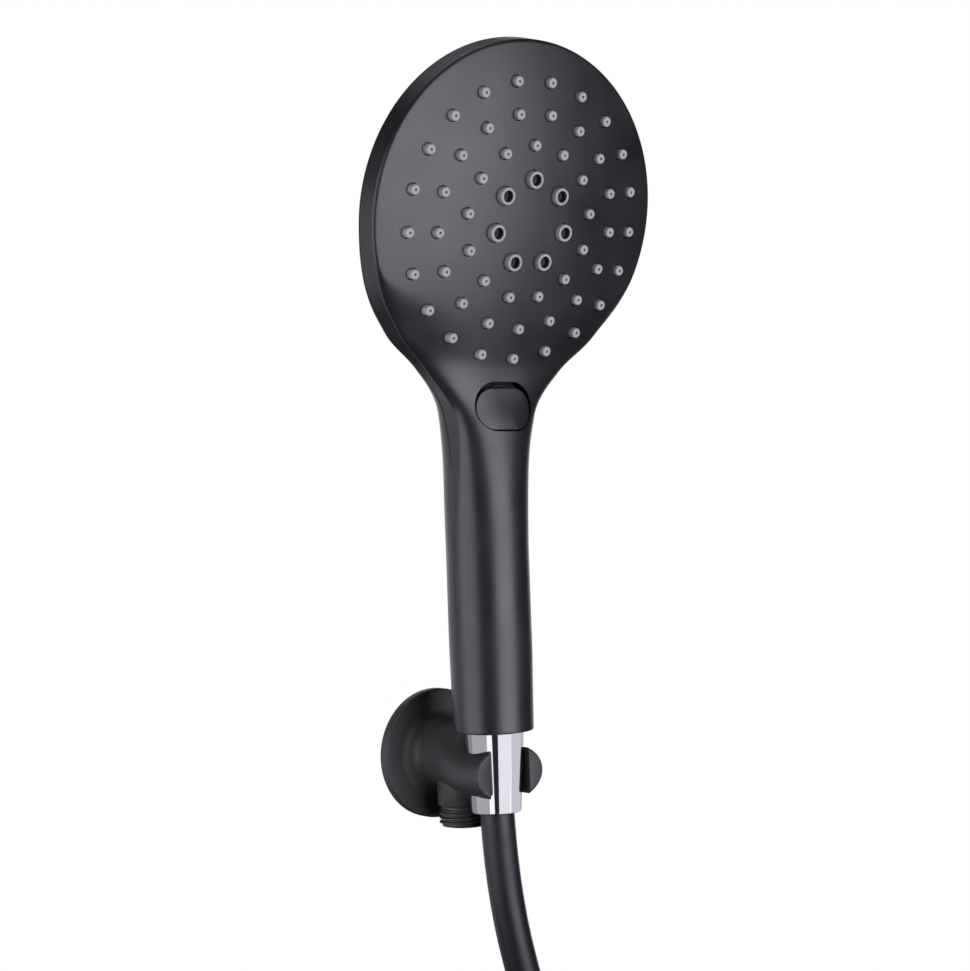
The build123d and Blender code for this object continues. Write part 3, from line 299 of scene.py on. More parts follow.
# %% Finishes
satin_black = finish("satin_black", (0.0095, 0.009, 0.0102), 0.38, ior=1.46, grain=2600, bump=0.05)
button_black = finish("button_black", (0.0095, 0.009, 0.0102), 0.4, ior=1.45, grain=2600, bump=0.05)
metal_black = finish("metal_black", (0.021, 0.0196, 0.0204), 0.57, ior=1.46, grain=1800, bump=0.08)
hose_black = finish("hose_black", (0.008, 0.008, 0.0115), 0.44, ior=1.39, grain=700, bump=0.03)
chrome = finish("chrome", (0.86, 0.86, 0.88), 0.07, metal=1.0, change=0.02, bump=0.004, spread=0.02)
silicone = finish("silicone", (0.275, 0.27, 0.29), 0.5, ior=1.42, change=0.06, grain=1500, bump=0.06)
# painted shade: near-black finish for the sheets inside the nozzle bores
painted_bore_shade = finish("painted_bore_shade", (0.02, 0.02, 0.024), 0.4, grain=900)
inner_white = finish("inner_white", (0.66, 0.66, 0.63), 0.45, change=0.05, grain=900)
# painted shade: near black with a weak reflection, for the pieces seen through the button's gap
behind_gap_painted_shade = finish("behind_gap_painted_shade", (0.004, 0.004, 0.0045), 0.7, ior=1.3, grain=900)
rubber_black = finish("rubber_black", (0.018, 0.018, 0.018), 0.65, grain=1200, bump=0.1)
steel = finish("steel", (0.56, 0.56, 0.58), 0.28, metal=1.0, change=0.05, grain=900, bump=0.03)
brass = finish("brass", (0.62, 0.44, 0.19), 0.3, metal=1.0, change=0.06, grain=900, bump=0.03)
print("finishes", [m.name for m in bpy.data.materials if m.users == 0])

# %% [markdown]
# The hose
#
# A smooth black hose hangs out of the chrome nut and leaves the picture. Its unseen length is put away in
# a tied coil. One curve follows the route's points and then the coil's turns, so it is one hose from end
# to end, with its real length and thickness.

# %% Hose route
HOSE_R = 7.0
HOSE_ROUND_STEPS = 7
HOSE_CURVE_STEPS = 8
HOSE_ROUTE = (
    (0.0, -42.5, -4.0),
    (0.0, -42.5, -44.0),
    (14.5, -42.5, -104.0),
    (38.0, -42.5, -156.0),
)
COIL_R = 82.0
COIL_TURNS = 2.5
COIL_PITCH = 15.0
COIL_END_STEP = 8.0
COIL_POINTS_PER_TURN = 16

run = np.array(HOSE_ROUTE[3]) - np.array(HOSE_ROUTE[2])
run /= np.linalg.norm(run)
coil_start = np.array(HOSE_ROUTE[3]) + run * 2 * HOSE_R
first_angle = math.atan2(run[0], -run[2])
coil_centre = coil_start - COIL_R * np.array([math.cos(first_angle), 0, math.sin(first_angle)])
whole_angle = 2 * math.pi * COIL_TURNS


def coil_forward(angle):
    """How far in front of its start the coil is: eased over half a turn at both ends, steady between."""
    half = COIL_PITCH / 2
    if angle < math.pi:
        t = angle / math.pi
        return half * (2 * t**2 - t**3)
    if angle <= whole_angle - math.pi:
        return COIL_PITCH * angle / (2 * math.pi)
    t = (angle - whole_angle + math.pi) / math.pi
    last = half * (t**3 - 2 * t**2 + t) + (half + COIL_END_STEP) * (3 * t**2 - 2 * t**3)
    return COIL_PITCH * (whole_angle - math.pi) / (2 * math.pi) + last


def coil_point(angle):
    """Point of the coil: round its centre by an angle, and forward with it."""
    phi = first_angle - angle
    return coil_centre + np.array([COIL_R * math.cos(phi), -coil_forward(angle), COIL_R * math.sin(phi)])


print("coil round", np.round(coil_centre, 1), "with", COIL_TURNS, "turns")

# %% Hose curve
coil_count = round(COIL_POINTS_PER_TURN * COIL_TURNS)
route = [np.array(p) for p in HOSE_ROUTE]
for i in range(coil_count + 1):
    route.append(coil_point(whole_angle * i / coil_count))
last_phi = first_angle - whole_angle
end_way = np.array([math.sin(last_phi), 0.0, -math.cos(last_phi)])
hose_end = route[-1] + end_way * 2 * HOSE_R
route.append(hose_end)

hose_curve = bpy.data.curves.new("hose_line", "CURVE")
hose_curve.dimensions = "3D"
hose_curve.bevel_depth = HOSE_R * MM
hose_curve.bevel_resolution = HOSE_ROUND_STEPS
hose_curve.use_fill_caps = True
spline = hose_curve.splines.new("NURBS")
spline.points.add(len(route) - 1)
controls = np.c_[np.array(route) * MM, np.ones(len(route))].astype(np.float32)
spline.points.foreach_set("co", controls.ravel())
spline.order_u = 3
spline.use_endpoint_u = True
spline.resolution_u = HOSE_CURVE_STEPS
hose = bpy.data.objects.new("hose_line", hose_curve)
bpy.context.scene.collection.objects.link(hose)
dress(hose, hose_black, "hose_set", ("hose", "hose_coil"))
print("hose points", len(route), "end", np.round(hose_end, 1))

# %% [markdown]
# The handset's form
#
# Seen from the front the handset is one outline: a straight handle, a flare and a disc. Seen from the side
# it bends forward by 14 degrees. So the form is drawn flat, as heights over that outline, and then bent.
# Three numbers place a point: x across, w along the bent middle line, and h out of it. The front height is
# the handle's front line or the face's dome, whichever stands out more, and it falls away in a round edge
# that is half the handle wide at the bottom and thin round the head.

# %% Handset sizes
HANDLE_Y = -42.5
HANDLE_R = 16.65
HANDLE_END_R = 16.1
HANDLE_END_Z = 12.5
HANDLE_TAPER_Z = 44.0
HANDLE_END_ROUND = 0.6
FLARE_START = 107.3
FLARE_LENGTH = 50.0
FLARE_WIDTH = 13.35
FLARE_POWER = 3.5
FLARE_FULL = 2.4
FLARE_FULL_ENDS = (140.0, 178.0)
NECK_DIP = 2.6
NECK_DIP_ENDS = (132.0, 178.0)
NECK_SQUARE = 0.2
FRONT_BLEND = 1.3
BACK_DIP = 0.8
BACK_DIP_ENDS = (105.0, 175.0)
BACK_SINK_ENDS = (126.0, 201.0)
BACK_BLEND = 1.5
FORM_LENGTH = 320.0
FORM_STEP = 0.25
BEND_W = 143.9
BEND_REACH = 17.0
TILT = math.radians(14.2)
HEAD_R = 67.6
HEAD_DRAFT = 0.35
HEAD_W = 220.7
HEAD_SWELL = 2.0
SEAM_DEPTH = 12.0
DOME_R = 271.0
DOME_RISE = 5.475
BACK_START = 1.0
BACK_RISE = 6.0
FRONT_EDGE_R = 1.2
BACK_EDGE_R = 1.8
SEAM_STEP = 0.35
SEAM_CUT = 0.22
SEAM_CUT_LOW = 0.04
SEAM_GAP = 0.1
WALL = 1.0
print("head", 2 * HEAD_R, "mm across, handle", 2 * HANDLE_R, "mm thick")

# %% Form of the handset
steps_w = np.arange(0.0, FORM_LENGTH, FORM_STEP)
lean_w = TILT * smooth_step((steps_w - BEND_W + BEND_REACH) / (2 * BEND_REACH))
middle_y = HANDLE_Y - np.concatenate([[0], np.cumsum(np.sin(lean_w[:-1]) * FORM_STEP)])
middle_z = np.concatenate([[0], np.cumsum(np.cos(lean_w[:-1]) * FORM_STEP)])


def on_form(x, w, h):
    """Point of the handset: the middle line at w, plus x across, plus h along the line's normal."""
    lean = np.interp(w, steps_w, lean_w)
    y = np.interp(w, steps_w, middle_y) - h * np.cos(lean)
    z = np.interp(w, steps_w, middle_z) - h * np.sin(lean)
    return np.stack(np.broadcast_arrays(x, y, z), -1)


def handle_r(w):
    """Handle's radius: a slight taper at its foot, and a round edge at its end."""
    share = np.clip((w - HANDLE_END_Z) / (HANDLE_TAPER_Z - HANDLE_END_Z), 0, 1)
    edge = np.clip((HANDLE_END_Z + HANDLE_END_ROUND - w) / HANDLE_END_ROUND, 0, 1)
    return HANDLE_END_R + (HANDLE_R - HANDLE_END_R) * share - HANDLE_END_ROUND * (1 - np.sqrt(1 - edge**2))


def flare_half(w):
    """Half width of handle and neck: the handle's radius plus a power of the way up the flare."""
    return handle_r(w) + FLARE_WIDTH * np.clip((w - FLARE_START) / FLARE_LENGTH, 0, 2) ** FLARE_POWER


def head_distance(x, w):
    """Distance from the head's centre over the outline."""
    return np.sqrt(x**2 + (w - HEAD_W) ** 2)


def eased(w, low, high, start, end):
    """Value that eases from one end to the other between two places along the form."""
    return start + (end - start) * smooth_step((w - low) / (high - low))


def dip(w, ends):
    """Shallow dip between two places along the form: the square of a half wave's sine."""
    return np.sin(math.pi * np.clip((w - ends[0]) / (ends[1] - ends[0]), 0, 1)) ** 2


def front_height(x, w):
    """Front of the form before its round edge: dipped handle line or face dome, blended where they meet."""
    lean = np.interp(w, steps_w, lean_w)
    line = (HANDLE_R - HANDLE_Y + np.interp(w, steps_w, middle_y)) / np.cos(lean) * handle_r(w) / HANDLE_R
    line = line - NECK_DIP * dip(w, NECK_DIP_ENDS)
    round_r = np.minimum(head_distance(x, w), DOME_R)
    dome = SEAM_DEPTH + DOME_RISE - DOME_R + np.sqrt(DOME_R**2 - round_r**2)
    return soft_max(line, dome, FRONT_BLEND)


def back_depth(x, w):
    """Back of the form before its round edge: the handle's back sinks into the head's shallow dome."""
    dome = BACK_START + BACK_RISE * (1 - np.minimum(head_distance(x, w) / HEAD_R, 1) ** 2)
    handle = handle_r(w) - BACK_DIP * dip(w, BACK_DIP_ENDS)
    return soft_max(dome, handle * eased(w, *BACK_SINK_ENDS, 1.0, 0.0), BACK_BLEND)


print("middle line", len(steps_w), "points")

# %% Handset outline
OUTLINE_END = 6
OUTLINE_LOW = 170
OUTLINE_RING = 150
JOIN_W = 178.0
DISC_ENDS = (155.8, 175.8)
SPINE_ENDS = (150.0, 186.0)
SWELL_ENDS = (140.0, 213.0)
DRAFT_ENDS = (145.0, 170.0)
SEAM_CUT_ENDS = (80.0, 135.0)

low_w = np.concatenate([
    HANDLE_END_Z + HANDLE_END_ROUND * (1 - np.cos(np.linspace(0, math.pi / 2, OUTLINE_END)))[:-1],
    np.linspace(HANDLE_END_Z + HANDLE_END_ROUND, JOIN_W, OUTLINE_LOW),
])
disc_half = np.sqrt(np.maximum(HEAD_R**2 - (low_w - HEAD_W) ** 2, 0))
low_half = eased(low_w, *DISC_ENDS, flare_half(low_w), disc_half)
low_half += FLARE_FULL * dip(low_w, FLARE_FULL_ENDS)
join_angle = math.atan2(JOIN_W - HEAD_W, math.sqrt(HEAD_R**2 - (JOIN_W - HEAD_W) ** 2))
ring_angle = np.linspace(join_angle, math.pi / 2, OUTLINE_RING)[1:]
right_x = np.concatenate([low_half, HEAD_R * np.cos(ring_angle)])
right_w = np.concatenate([low_w, HEAD_W + HEAD_R * np.sin(ring_angle)])
right_x[-1] = 0.0
outline_x = np.concatenate([right_x, -right_x[-2::-1]])
outline_w = np.concatenate([right_w, right_w[-2::-1]])
spine_w = eased(outline_w, *SPINE_ENDS, outline_w, HEAD_W)
spine_w = np.where(outline_w > SPINE_ENDS[1], HEAD_W, spine_w)
reach = np.hypot(outline_x, outline_w - spine_w)
out_x = outline_x / reach
out_w = (outline_w - spine_w) / reach
seam_out = eased(outline_w, *DRAFT_ENDS, 0.0, HEAD_DRAFT) + HEAD_SWELL * dip(outline_w, SWELL_ENDS)
seam_cut = eased(outline_w, *SEAM_CUT_ENDS, SEAM_CUT_LOW, SEAM_CUT)
print("outline", len(outline_x), "widest", round(outline_x.max(), 1))

# %% [markdown]
# The two shells
#
# Rays run from the form's spine to its outline. Along each ray the surface is flat, then turns down in a
# quarter of an ellipse, and then runs along the side to the seam. On the handle the ellipse is the whole
# half round. Up the neck it shrinks until it is the thin edge of the head, and a power a little above two
# lets it start without a crease. The front shell ends just before the seam and the rear shell starts just
# after it, both with a small chamfer for the parting line.

# %% Shell surfaces
SHELL_ROWS = 48
SIDE_ROWS = 6
MOST_WIDE = 0.995
FRONT_WIDE_ENDS = (140.0, 198.0)
FRONT_DEEP_ENDS = (75.0, 200.0)
FRONT_SQUARE_ENDS = (108.0, 143.0)
FLARE_ROUND = 1.2
FLARE_ROUND_ENDS = (134.0, 196.0)
BACK_WIDE_ENDS = (149.0, 190.3)
BACK_DEEP_ENDS = (135.8, 196.3)


def shell_rows(height, wide, deep, power, extra):
    """Rows from spine to outline: flat, then a quarter ellipse, wide along the ray and deep below it."""
    flat = reach + extra - wide
    arc = (wide + deep) * math.pi / 4
    way = (flat + arc) * (1 - (1 - np.linspace(0, 1, SHELL_ROWS)[:, None]) ** 2)
    bend = np.clip((way - flat) / arc, 0, 1) * math.pi / 2
    along = np.where(way < flat, way, flat + wide * np.sin(bend))
    x = out_x * along
    w = spine_w + out_w * along
    return x, w, height(x, w) - deep * (1 - np.sqrt(np.maximum(1 - np.sin(bend) ** power, 0)))


def shell(name, height, wide, deep, power, extra, sign):
    """One shell: its rows, then its side down to the chamfer at the seam, thickened inwards."""
    deep = np.minimum(deep, height(outline_x, outline_w) - SEAM_STEP)
    wide = np.minimum(wide, (reach + extra) * MOST_WIDE)
    x, w, h = shell_rows(height, wide, deep, power, extra)
    share = np.linspace(0, 1, SIDE_ROWS)[1:, None]
    grow = np.concatenate([(seam_out - extra) * share, (seam_out - extra - seam_cut)[None]])
    side = np.concatenate([h[-1] + (SEAM_STEP - h[-1]) * share, np.full((1, len(outline_x)), SEAM_GAP)])
    x = np.concatenate([x, x[-1] + out_x * grow])
    w = np.concatenate([w, w[-1] + out_w * grow])
    made = grid_object(name, [(on_form(x, w, sign * np.concatenate([h, side])), False)])
    normals = np.zeros(len(made.data.polygons) * 3)
    made.data.polygons.foreach_get("normal", normals)
    if normals.reshape(-1, 3)[:, 1].sum() * sign > 0:
        made.data.flip_normals()
    wall = made.modifiers.new("wall", "SOLIDIFY")
    wall.thickness = WALL * MM
    wall.offset = -1.0
    return bake_modifiers(made)


def front_depth(w):
    """Depth of the front's round edge: it shrinks from handle to head, and is fuller round the flare."""
    return eased(w, *FRONT_DEEP_ENDS, handle_r(w), FRONT_EDGE_R) + FLARE_ROUND * dip(w, FLARE_ROUND_ENDS)


def front_power(w):
    """Power of the front's round edge: two on the handle, a little more from the neck on."""
    return 2 + eased(w, *FRONT_SQUARE_ENDS, 0.0, NECK_SQUARE)


# %% Front and rear shell
front_wide = eased(outline_w, *FRONT_WIDE_ENDS, reach, FRONT_EDGE_R)
front_deep = front_depth(outline_w)
front_bend = front_power(outline_w)
back_wide = eased(outline_w, *BACK_WIDE_ENDS, reach + seam_out, BACK_EDGE_R)
back_deep = eased(outline_w, *BACK_DEEP_ENDS, handle_r(outline_w), BACK_EDGE_R)
no_extra = np.zeros_like(reach)
front_shell = shell("front_shell_form", front_height, front_wide, front_deep, front_bend, no_extra, 1.0)
rear_shell = shell("rear_shell_form", back_depth, back_wide, back_deep, 2.0, seam_out, -1.0)
print("shells", len(front_shell.data.polygons), len(rear_shell.data.polygons))

# %% [markdown]
# Nozzles and the holes for them
#
# Four rings of silicone nozzles stand out of the face. Three rings are slim pegs with a pinhole, and the
# inner ring is wider tubes with a dark bore. Each passes through its own hole with a thin dark gap around
# it, which is cut into the shell for real.

# %% Nozzle places
RINGS = ((54.2, 21, 273.0), (42.0, 17, 273.0), (29.8, 13, 93.0))
WIDE_RING = (16.8, 7, 93.0)
RING_DROP = 2.0
HOLE_GAP = 0.4


def ring_places(radius, count, start):
    """Places on a ring: its radius times cosine and sine of evenly spaced angles, from a start."""
    angle = np.radians(start + 360.0 * np.arange(count) / count)
    return np.stack([radius * np.cos(angle), HEAD_W - RING_DROP + radius * np.sin(angle)], 1)


peg_places = np.concatenate([ring_places(*ring) for ring in RINGS])
wide_places = ring_places(*WIDE_RING)
face_out = np.array([0.0, -math.cos(TILT), -math.sin(TILT)])


def turned_at(places, profile, sides):
    """The same turned shape on each place of the face, its height counted from the face."""
    profile = np.asarray(profile, float)
    h = front_height(places[:, 0], places[:, 1])
    return [(lathe(profile, on_form(p[0], p[1], one), face_out, sides), True) for p, one in zip(places, h)]


def bar(radius, low, high):
    """Profile of a plain bar, closed at both ends."""
    return [(0, low), (radius, low), (radius, high), (0, high)]


print("nozzles", len(peg_places), "slim and", len(wide_places), "wide")

# %% Nozzles
HOLE_ENDS = (-6.0, 3.0)
NOZZLE_FOOT = -5.0
ROUND_STEPS = 4
PEG_R = 2.1
PEG_SHOULDER = 1.5
PEG_TIP_R = 1.8
PEG_OUT = 2.3
PEG_BORE_R = 0.5
PEG_BORE_FOOT = -1.5
PEG_ROUNDS = (0.1, 0.5, 0.35, 0.15, 0.1)
WIDE_R = 3.5
WIDE_SHOULDER = 1.6
WIDE_TIP_R = 3.25
WIDE_OUT = 2.5
WIDE_BORE_R = 2.3
WIDE_BORE_END_R = 2.2
WIDE_BORE_FOOT = -1.2
WIDE_ROUNDS = (0.1, 0.6, 0.4, 0.3, 0.2)

peg_holes = turned_at(peg_places, bar(PEG_R + HOLE_GAP, *HOLE_ENDS), sides=40)
wide_holes = turned_at(wide_places, bar(WIDE_R + HOLE_GAP, *HOLE_ENDS), sides=48)
carve(front_shell, grid_object("holes", peg_holes + wide_holes))

peg_corners = [
    (0, NOZZLE_FOOT), (PEG_R, NOZZLE_FOOT), (PEG_R, PEG_SHOULDER), (PEG_TIP_R, PEG_OUT),
    (PEG_BORE_R, PEG_OUT), (PEG_BORE_R, PEG_BORE_FOOT), (0, PEG_BORE_FOOT),
]
wide_corners = [
    (0, NOZZLE_FOOT), (WIDE_R, NOZZLE_FOOT), (WIDE_R, WIDE_SHOULDER), (WIDE_TIP_R, WIDE_OUT),
    (WIDE_BORE_R, WIDE_OUT), (WIDE_BORE_END_R, WIDE_BORE_FOOT), (0, WIDE_BORE_FOOT),
]
peg_line = soft_line(peg_corners, PEG_ROUNDS, ROUND_STEPS)
wide_line = soft_line(wide_corners, WIDE_ROUNDS, ROUND_STEPS)
pegs = smooth(grid_object("nozzle_pegs", turned_at(peg_places, peg_line, sides=28)))
wides = smooth(grid_object("wide_nozzles", turned_at(wide_places, wide_line, sides=40)))
dress(pegs, silicone, "handset", ("nozzle_mat",))
dress(wides, silicone, "handset", ("massage_nozzles",))

# %% [markdown]
# The bores
#
# Water leaves by a pinhole in each peg and by an open tube in each wide nozzle. Little light comes back
# out of them. A thin near-black sheet inside each bore paints that shade, and one turned profile serves a
# whole ring.

# %% Painted shade inside the bores
SHADE_SHEET_FOOT = 0.1
PEG_SHADE_FOOT_R = 0.48
PEG_SHADE_TIP_R = 0.56
PEG_SHADE_TIP = 0.02
PEG_SHADE_SINK = 0.5
PEG_SHADE_ROUNDS = (0.1, 0.1)
WIDE_SHADE_FOOT_R = 2.24
WIDE_SHADE_LIP = ((2.28, -0.25), (2.1, -0.3))
WIDE_SHADE_FLOOR = ((1.9, -0.3), (0.9, -0.1), (0.7, -0.8), (0, -0.8))
WIDE_SHADE_ROUNDS = (0.1, 0.05, 0.1, 0.3, 0.2, 0.1)

peg_low = PEG_BORE_FOOT + SHADE_SHEET_FOOT
wide_low = WIDE_BORE_FOOT + SHADE_SHEET_FOOT
peg_shade_sheet = soft_line(
    [(0, peg_low), (PEG_SHADE_FOOT_R, peg_low), (PEG_SHADE_TIP_R, PEG_OUT + PEG_SHADE_TIP),
     (0, PEG_OUT - PEG_SHADE_SINK)],
    PEG_SHADE_ROUNDS,
)
wide_lip = [(radius, WIDE_OUT + height) for radius, height in WIDE_SHADE_LIP]
wide_shade_sheet = soft_line(
    [(0, wide_low), (WIDE_SHADE_FOOT_R, wide_low), *wide_lip, *WIDE_SHADE_FLOOR],
    WIDE_SHADE_ROUNDS,
)
# painted shade: near-black sheets inside the pinholes and the wide bores
bore_shade_sheets = turned_at(peg_places, peg_shade_sheet, sides=16) + turned_at(wide_places, wide_shade_sheet, sides=32)
dress(smooth(grid_object("nozzle_bore_shade", bore_shade_sheets)), painted_bore_shade, "handset")

# %% [markdown]
# The push button
#
# The button is a rounded plate that follows the neck's front. It lies in an opening that is a little
# larger, with a wider gap along its top edge where a thumb finds it. A modifier could wrap a flat plate
# round the neck. Here its points come from the neck's own formula, so both have exactly the same curve.

# %% Push button form
BUTTON_Z = 142.1
BUTTON_HALF = 13.5
BUTTON_HIGH = 9.45
BUTTON_CORNER = 9.2
BUTTON_GAP = 0.45
BUTTON_TOP_GAP = 1.9
BUTTON_T = 1.6
BUTTON_EDGE = 0.5
BUTTON_SINK = 0.25
BUTTON_BACK_Y = -54.8
BUTTON_LEAST_T = 0.05
BUTTON_FLAT_ROWS = 11
BUTTON_EDGE_ROWS = 5
PLATE_CORNER_LESS = 0.2
OPENING_ENDS_Y = (-70.0, -46.0)
PLACE_STEPS = 8


def rounded_outline(half, high, corner, count=40):
    """Outline of a rounded rectangle: four quarter circles of the corner's radius, joined."""
    quarter = np.linspace(0, math.pi / 2, count)
    parts = []
    for i, side in enumerate(((1, 1), (-1, 1), (-1, -1), (1, -1))):
        angle = quarter + i * math.pi / 2
        centre = np.array(side) * (half - corner, high - corner)
        parts.append(centre + corner * np.stack([np.cos(angle), np.sin(angle)], 1))
    return np.concatenate(parts)


def neck_height(x, w):
    """Front height of the neck with its elliptical round, where the rays still run straight across."""
    half = flare_half(w) + FLARE_FULL * dip(w, FLARE_FULL_ENDS)
    wide = np.minimum(eased(w, *FRONT_WIDE_ENDS, half, FRONT_EDGE_R), half * MOST_WIDE)
    deep = np.minimum(front_depth(w), front_height(half, w) - SEAM_STEP)
    share = np.clip((np.abs(x) - half + wide) / wide, 0, 1)
    return front_height(x, w) - deep * (1 - np.sqrt(1 - share ** front_power(w)))


def on_neck(x, z, sink):
    """Point of the neck's front at x and a height z, sunk by a depth: w is moved until its height is z."""
    w = z + np.zeros_like(x)
    for _ in range(PLACE_STEPS):
        w = w + z - on_form(x, w, neck_height(x, w) - sink)[..., 2]
    return on_form(x, w, neck_height(x, w) - sink)


def button_plate(name, outline, centre_z, top, foot, edge):
    """Closed plate over an outline: rows grow to its round edge, and its back stays clear of the valve."""
    rise = np.linspace(0, math.pi / 2, BUTTON_EDGE_ROWS + 1)[1:]
    flat_rows = np.linspace(0, 1, BUTTON_FLAT_ROWS)
    size = np.concatenate([flat_rows, np.ones_like(rise), [1.0], [0.0]])
    grow = np.concatenate([np.zeros_like(flat_rows), edge * np.sin(rise), [edge], [0.0]])
    sink = top + np.concatenate([np.zeros_like(flat_rows), edge * (1 - np.cos(rise)), [foot], [foot]])
    way = outline / np.linalg.norm(outline, axis=1)[:, None]
    flat = outline * size[:, None, None] + way * grow[:, None, None]
    least_sink = np.minimum(sink, top + edge + BUTTON_LEAST_T)
    grid = on_neck(flat[..., 0], centre_z + flat[..., 1], sink[:, None])
    least = on_neck(flat[..., 0], centre_z + flat[..., 1], least_sink[:, None])
    grid[-2:, :, 1] = np.minimum(grid[-2:, :, 1], np.maximum(least[-2:, :, 1], BUTTON_BACK_Y))
    return grid_object(name, [(grid, True)])


# %% Opening and push button
opening = rounded_outline(BUTTON_HALF + BUTTON_GAP, BUTTON_HIGH + BUTTON_GAP, BUTTON_CORNER + BUTTON_GAP)
rim = np.c_[opening[:, 0], np.zeros(len(opening)), BUTTON_Z + opening[:, 1]]
cut_front, cut_back = (rim + (0, y, 0) for y in OPENING_ENDS_Y)
carve(front_shell, grid_object("opening", [(block(cut_front, cut_back), True)]))
smooth(front_shell)
smooth(rear_shell)
dress(front_shell, satin_black, "handset", ("front_shell",))
dress(rear_shell, satin_black, "handset", ("rear_shell",))

plate_high = BUTTON_HIGH - BUTTON_TOP_GAP / 2 - BUTTON_EDGE
plate = rounded_outline(BUTTON_HALF - BUTTON_EDGE, plate_high, plate_high - PLATE_CORNER_LESS)
plate_z = BUTTON_Z - BUTTON_TOP_GAP / 2
button = button_plate("button_plate", plate, plate_z, BUTTON_SINK, BUTTON_T, BUTTON_EDGE)
smooth(button, angle=50.0)
dress(button, button_black, "button", ("button_cap",))

# %% [markdown]
# The button's spring
#
# Behind the plate a conical spring rests on the diverter's cover. Its turns nest in one another, so a real
# one flattens as the button goes in. Here it rides with the button.

# %% Return spring
SPRING_Z = 143.0
SPRING_FRONT_Y = -55.65
SPRING_SEAT_Y = -52.3
SPRING_RADII = (5.6, 8.4)
SPRING_TURNS = 2.5
SPRING_WIRE_R = 0.3
SPRING_RINGS = 121
SPRING_SIDES = 10


def spring_tube():
    """Tube along a conical helix: radius and height grow with the angle, rings lie square to the way."""
    share = np.linspace(0, 1, SPRING_RINGS)
    angle = 2 * np.pi * SPRING_TURNS * share
    radius = SPRING_RADII[0] + (SPRING_RADII[1] - SPRING_RADII[0]) * share
    y = SPRING_FRONT_Y + (SPRING_SEAT_Y - SPRING_FRONT_Y) * share
    centre = np.stack([radius * np.cos(angle), y, SPRING_Z - radius * np.sin(angle)], -1)
    way = np.gradient(centre, axis=0)
    way /= np.linalg.norm(way, axis=1, keepdims=True)
    out = np.stack([np.cos(angle), np.zeros_like(angle), -np.sin(angle)], -1)
    out -= (out * way).sum(1, keepdims=True) * way
    out /= np.linalg.norm(out, axis=1, keepdims=True)
    side = np.cross(way, out)
    turn = (np.arange(SPRING_SIDES) * 2 * np.pi / SPRING_SIDES)[None, :, None]
    circle = np.cos(turn) * out[:, None] + np.sin(turn) * side[:, None]
    rings = centre[:, None] + SPRING_WIRE_R * circle
    ends = [np.broadcast_to(point, (1, SPRING_SIDES, 3)) for point in centre[[0, -1]]]
    return np.concatenate([ends[0], rings, ends[1]])


# %% Spring on the button
spring = smooth(grid_object("return_spring", [(spring_tube(), True)]), angle=60.0)
dress(spring, metal_black, "button", ("button_spring",))
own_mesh(spring)

# %% [markdown]
# The chrome nut
#
# The hose's nut is a turned cone, plated like a mirror. It is the one bright piece, so its edges are
# small rounds that catch the light, and its foot is open around the hose. One profile turned round the
# handle's axis makes all of it. The rounds are drawn in the profile, so it needs no bevel.

# %% Chrome nut
CONE_TOP_R = 12.15
CONE_END_R = 10.15
CONE_TOP_Z = 12.3
CONE_END_Z = -20.2
CONE_FULL_Z = 12.5
CONE_BORE_R = 9.5
CONE_BORE_Z = -16.2
CONE_MOUTH_R = 7.45
CONE_THROAT_R = 7.35
CONE_THROAT_Z = -17.2
CONE_ROUNDS = (0.5, 0.7, 0.4, 0.3, 0.3)
UP = (0, 0, 1)
HANDLE_ORIGIN = (0, HANDLE_Y, 0)

cone_corners = [
    (CONE_BORE_R, CONE_TOP_Z), (CONE_TOP_R, CONE_TOP_Z), (CONE_END_R, CONE_END_Z),
    (CONE_MOUTH_R, CONE_END_Z), (CONE_THROAT_R, CONE_THROAT_Z), (CONE_BORE_R, CONE_BORE_Z),
    (CONE_BORE_R, CONE_TOP_Z),
]
cone = lathe(soft_line(cone_corners, CONE_ROUNDS, steps=6), HANDLE_ORIGIN, UP, sides=160)
nut = smooth(grid_object("chrome_nut", [(cone, True)]), angle=40.0)
dress(nut, chrome, "handset", ("cone_nut",))

# %% [markdown]
# The wall elbow
#
# A round flange stands on the wall, and its arm flows out of it, widens and ends in two cheeks with a
# slot between them. One row of ellipses gives flange, fillet and arm. The conical socket, the slot and
# the pipe thread below are then cut and added.

# %% Wall elbow body
FLANGE_R = 26.9
FLANGE_T = 4.2
ARM_R = 13.3
ARM_FILLET = 6.0
ARM_END_HALF_W = 17.0
ARM_END_HALF_H = 11.4
ARM_END_Y = -52.6
ARM_DROP = 4.0
ARM_EDGE = 1.2
ARM_EASE_START = 0.2
ARM_EASE_LENGTH = 0.6
FLANGE_ROUNDS = (0.3, 1.0)
FILLET_ROWS = 13
ARM_ROWS = 39
ARM_EDGE_ROWS = 6
ELBOW_SIDES = 128

flange_corners = [(0, 0), (FLANGE_R, 0), (FLANGE_R, FLANGE_T), (ARM_R + ARM_FILLET, FLANGE_T)]
flange_line = soft_line(flange_corners, FLANGE_ROUNDS, steps=6)
turn_in = np.linspace(0, math.pi / 2, FILLET_ROWS + 1)[1:]
fillet_r = ARM_R + ARM_FILLET * (1 - np.sin(turn_in))
fillet_y = FLANGE_T + ARM_FILLET * (1 - np.cos(turn_in))
arm_y = np.linspace(FLANGE_T + ARM_FILLET, -ARM_END_Y - ARM_EDGE, ARM_ROWS + 1)[1:]
end_turn = np.linspace(0, math.pi / 2, ARM_EDGE_ROWS + 1)[1:]
station_r = np.concatenate([flange_line[:, 0], fillet_r, np.full(len(arm_y), ARM_R)])
station_y = np.concatenate([flange_line[:, 1], fillet_y, arm_y])
ease = smooth_step((station_y / -ARM_END_Y - ARM_EASE_START) / ARM_EASE_LENGTH)
half_w = station_r + (ARM_END_HALF_W - ARM_R) * ease
half_h = station_r + (ARM_END_HALF_H - ARM_R) * ease
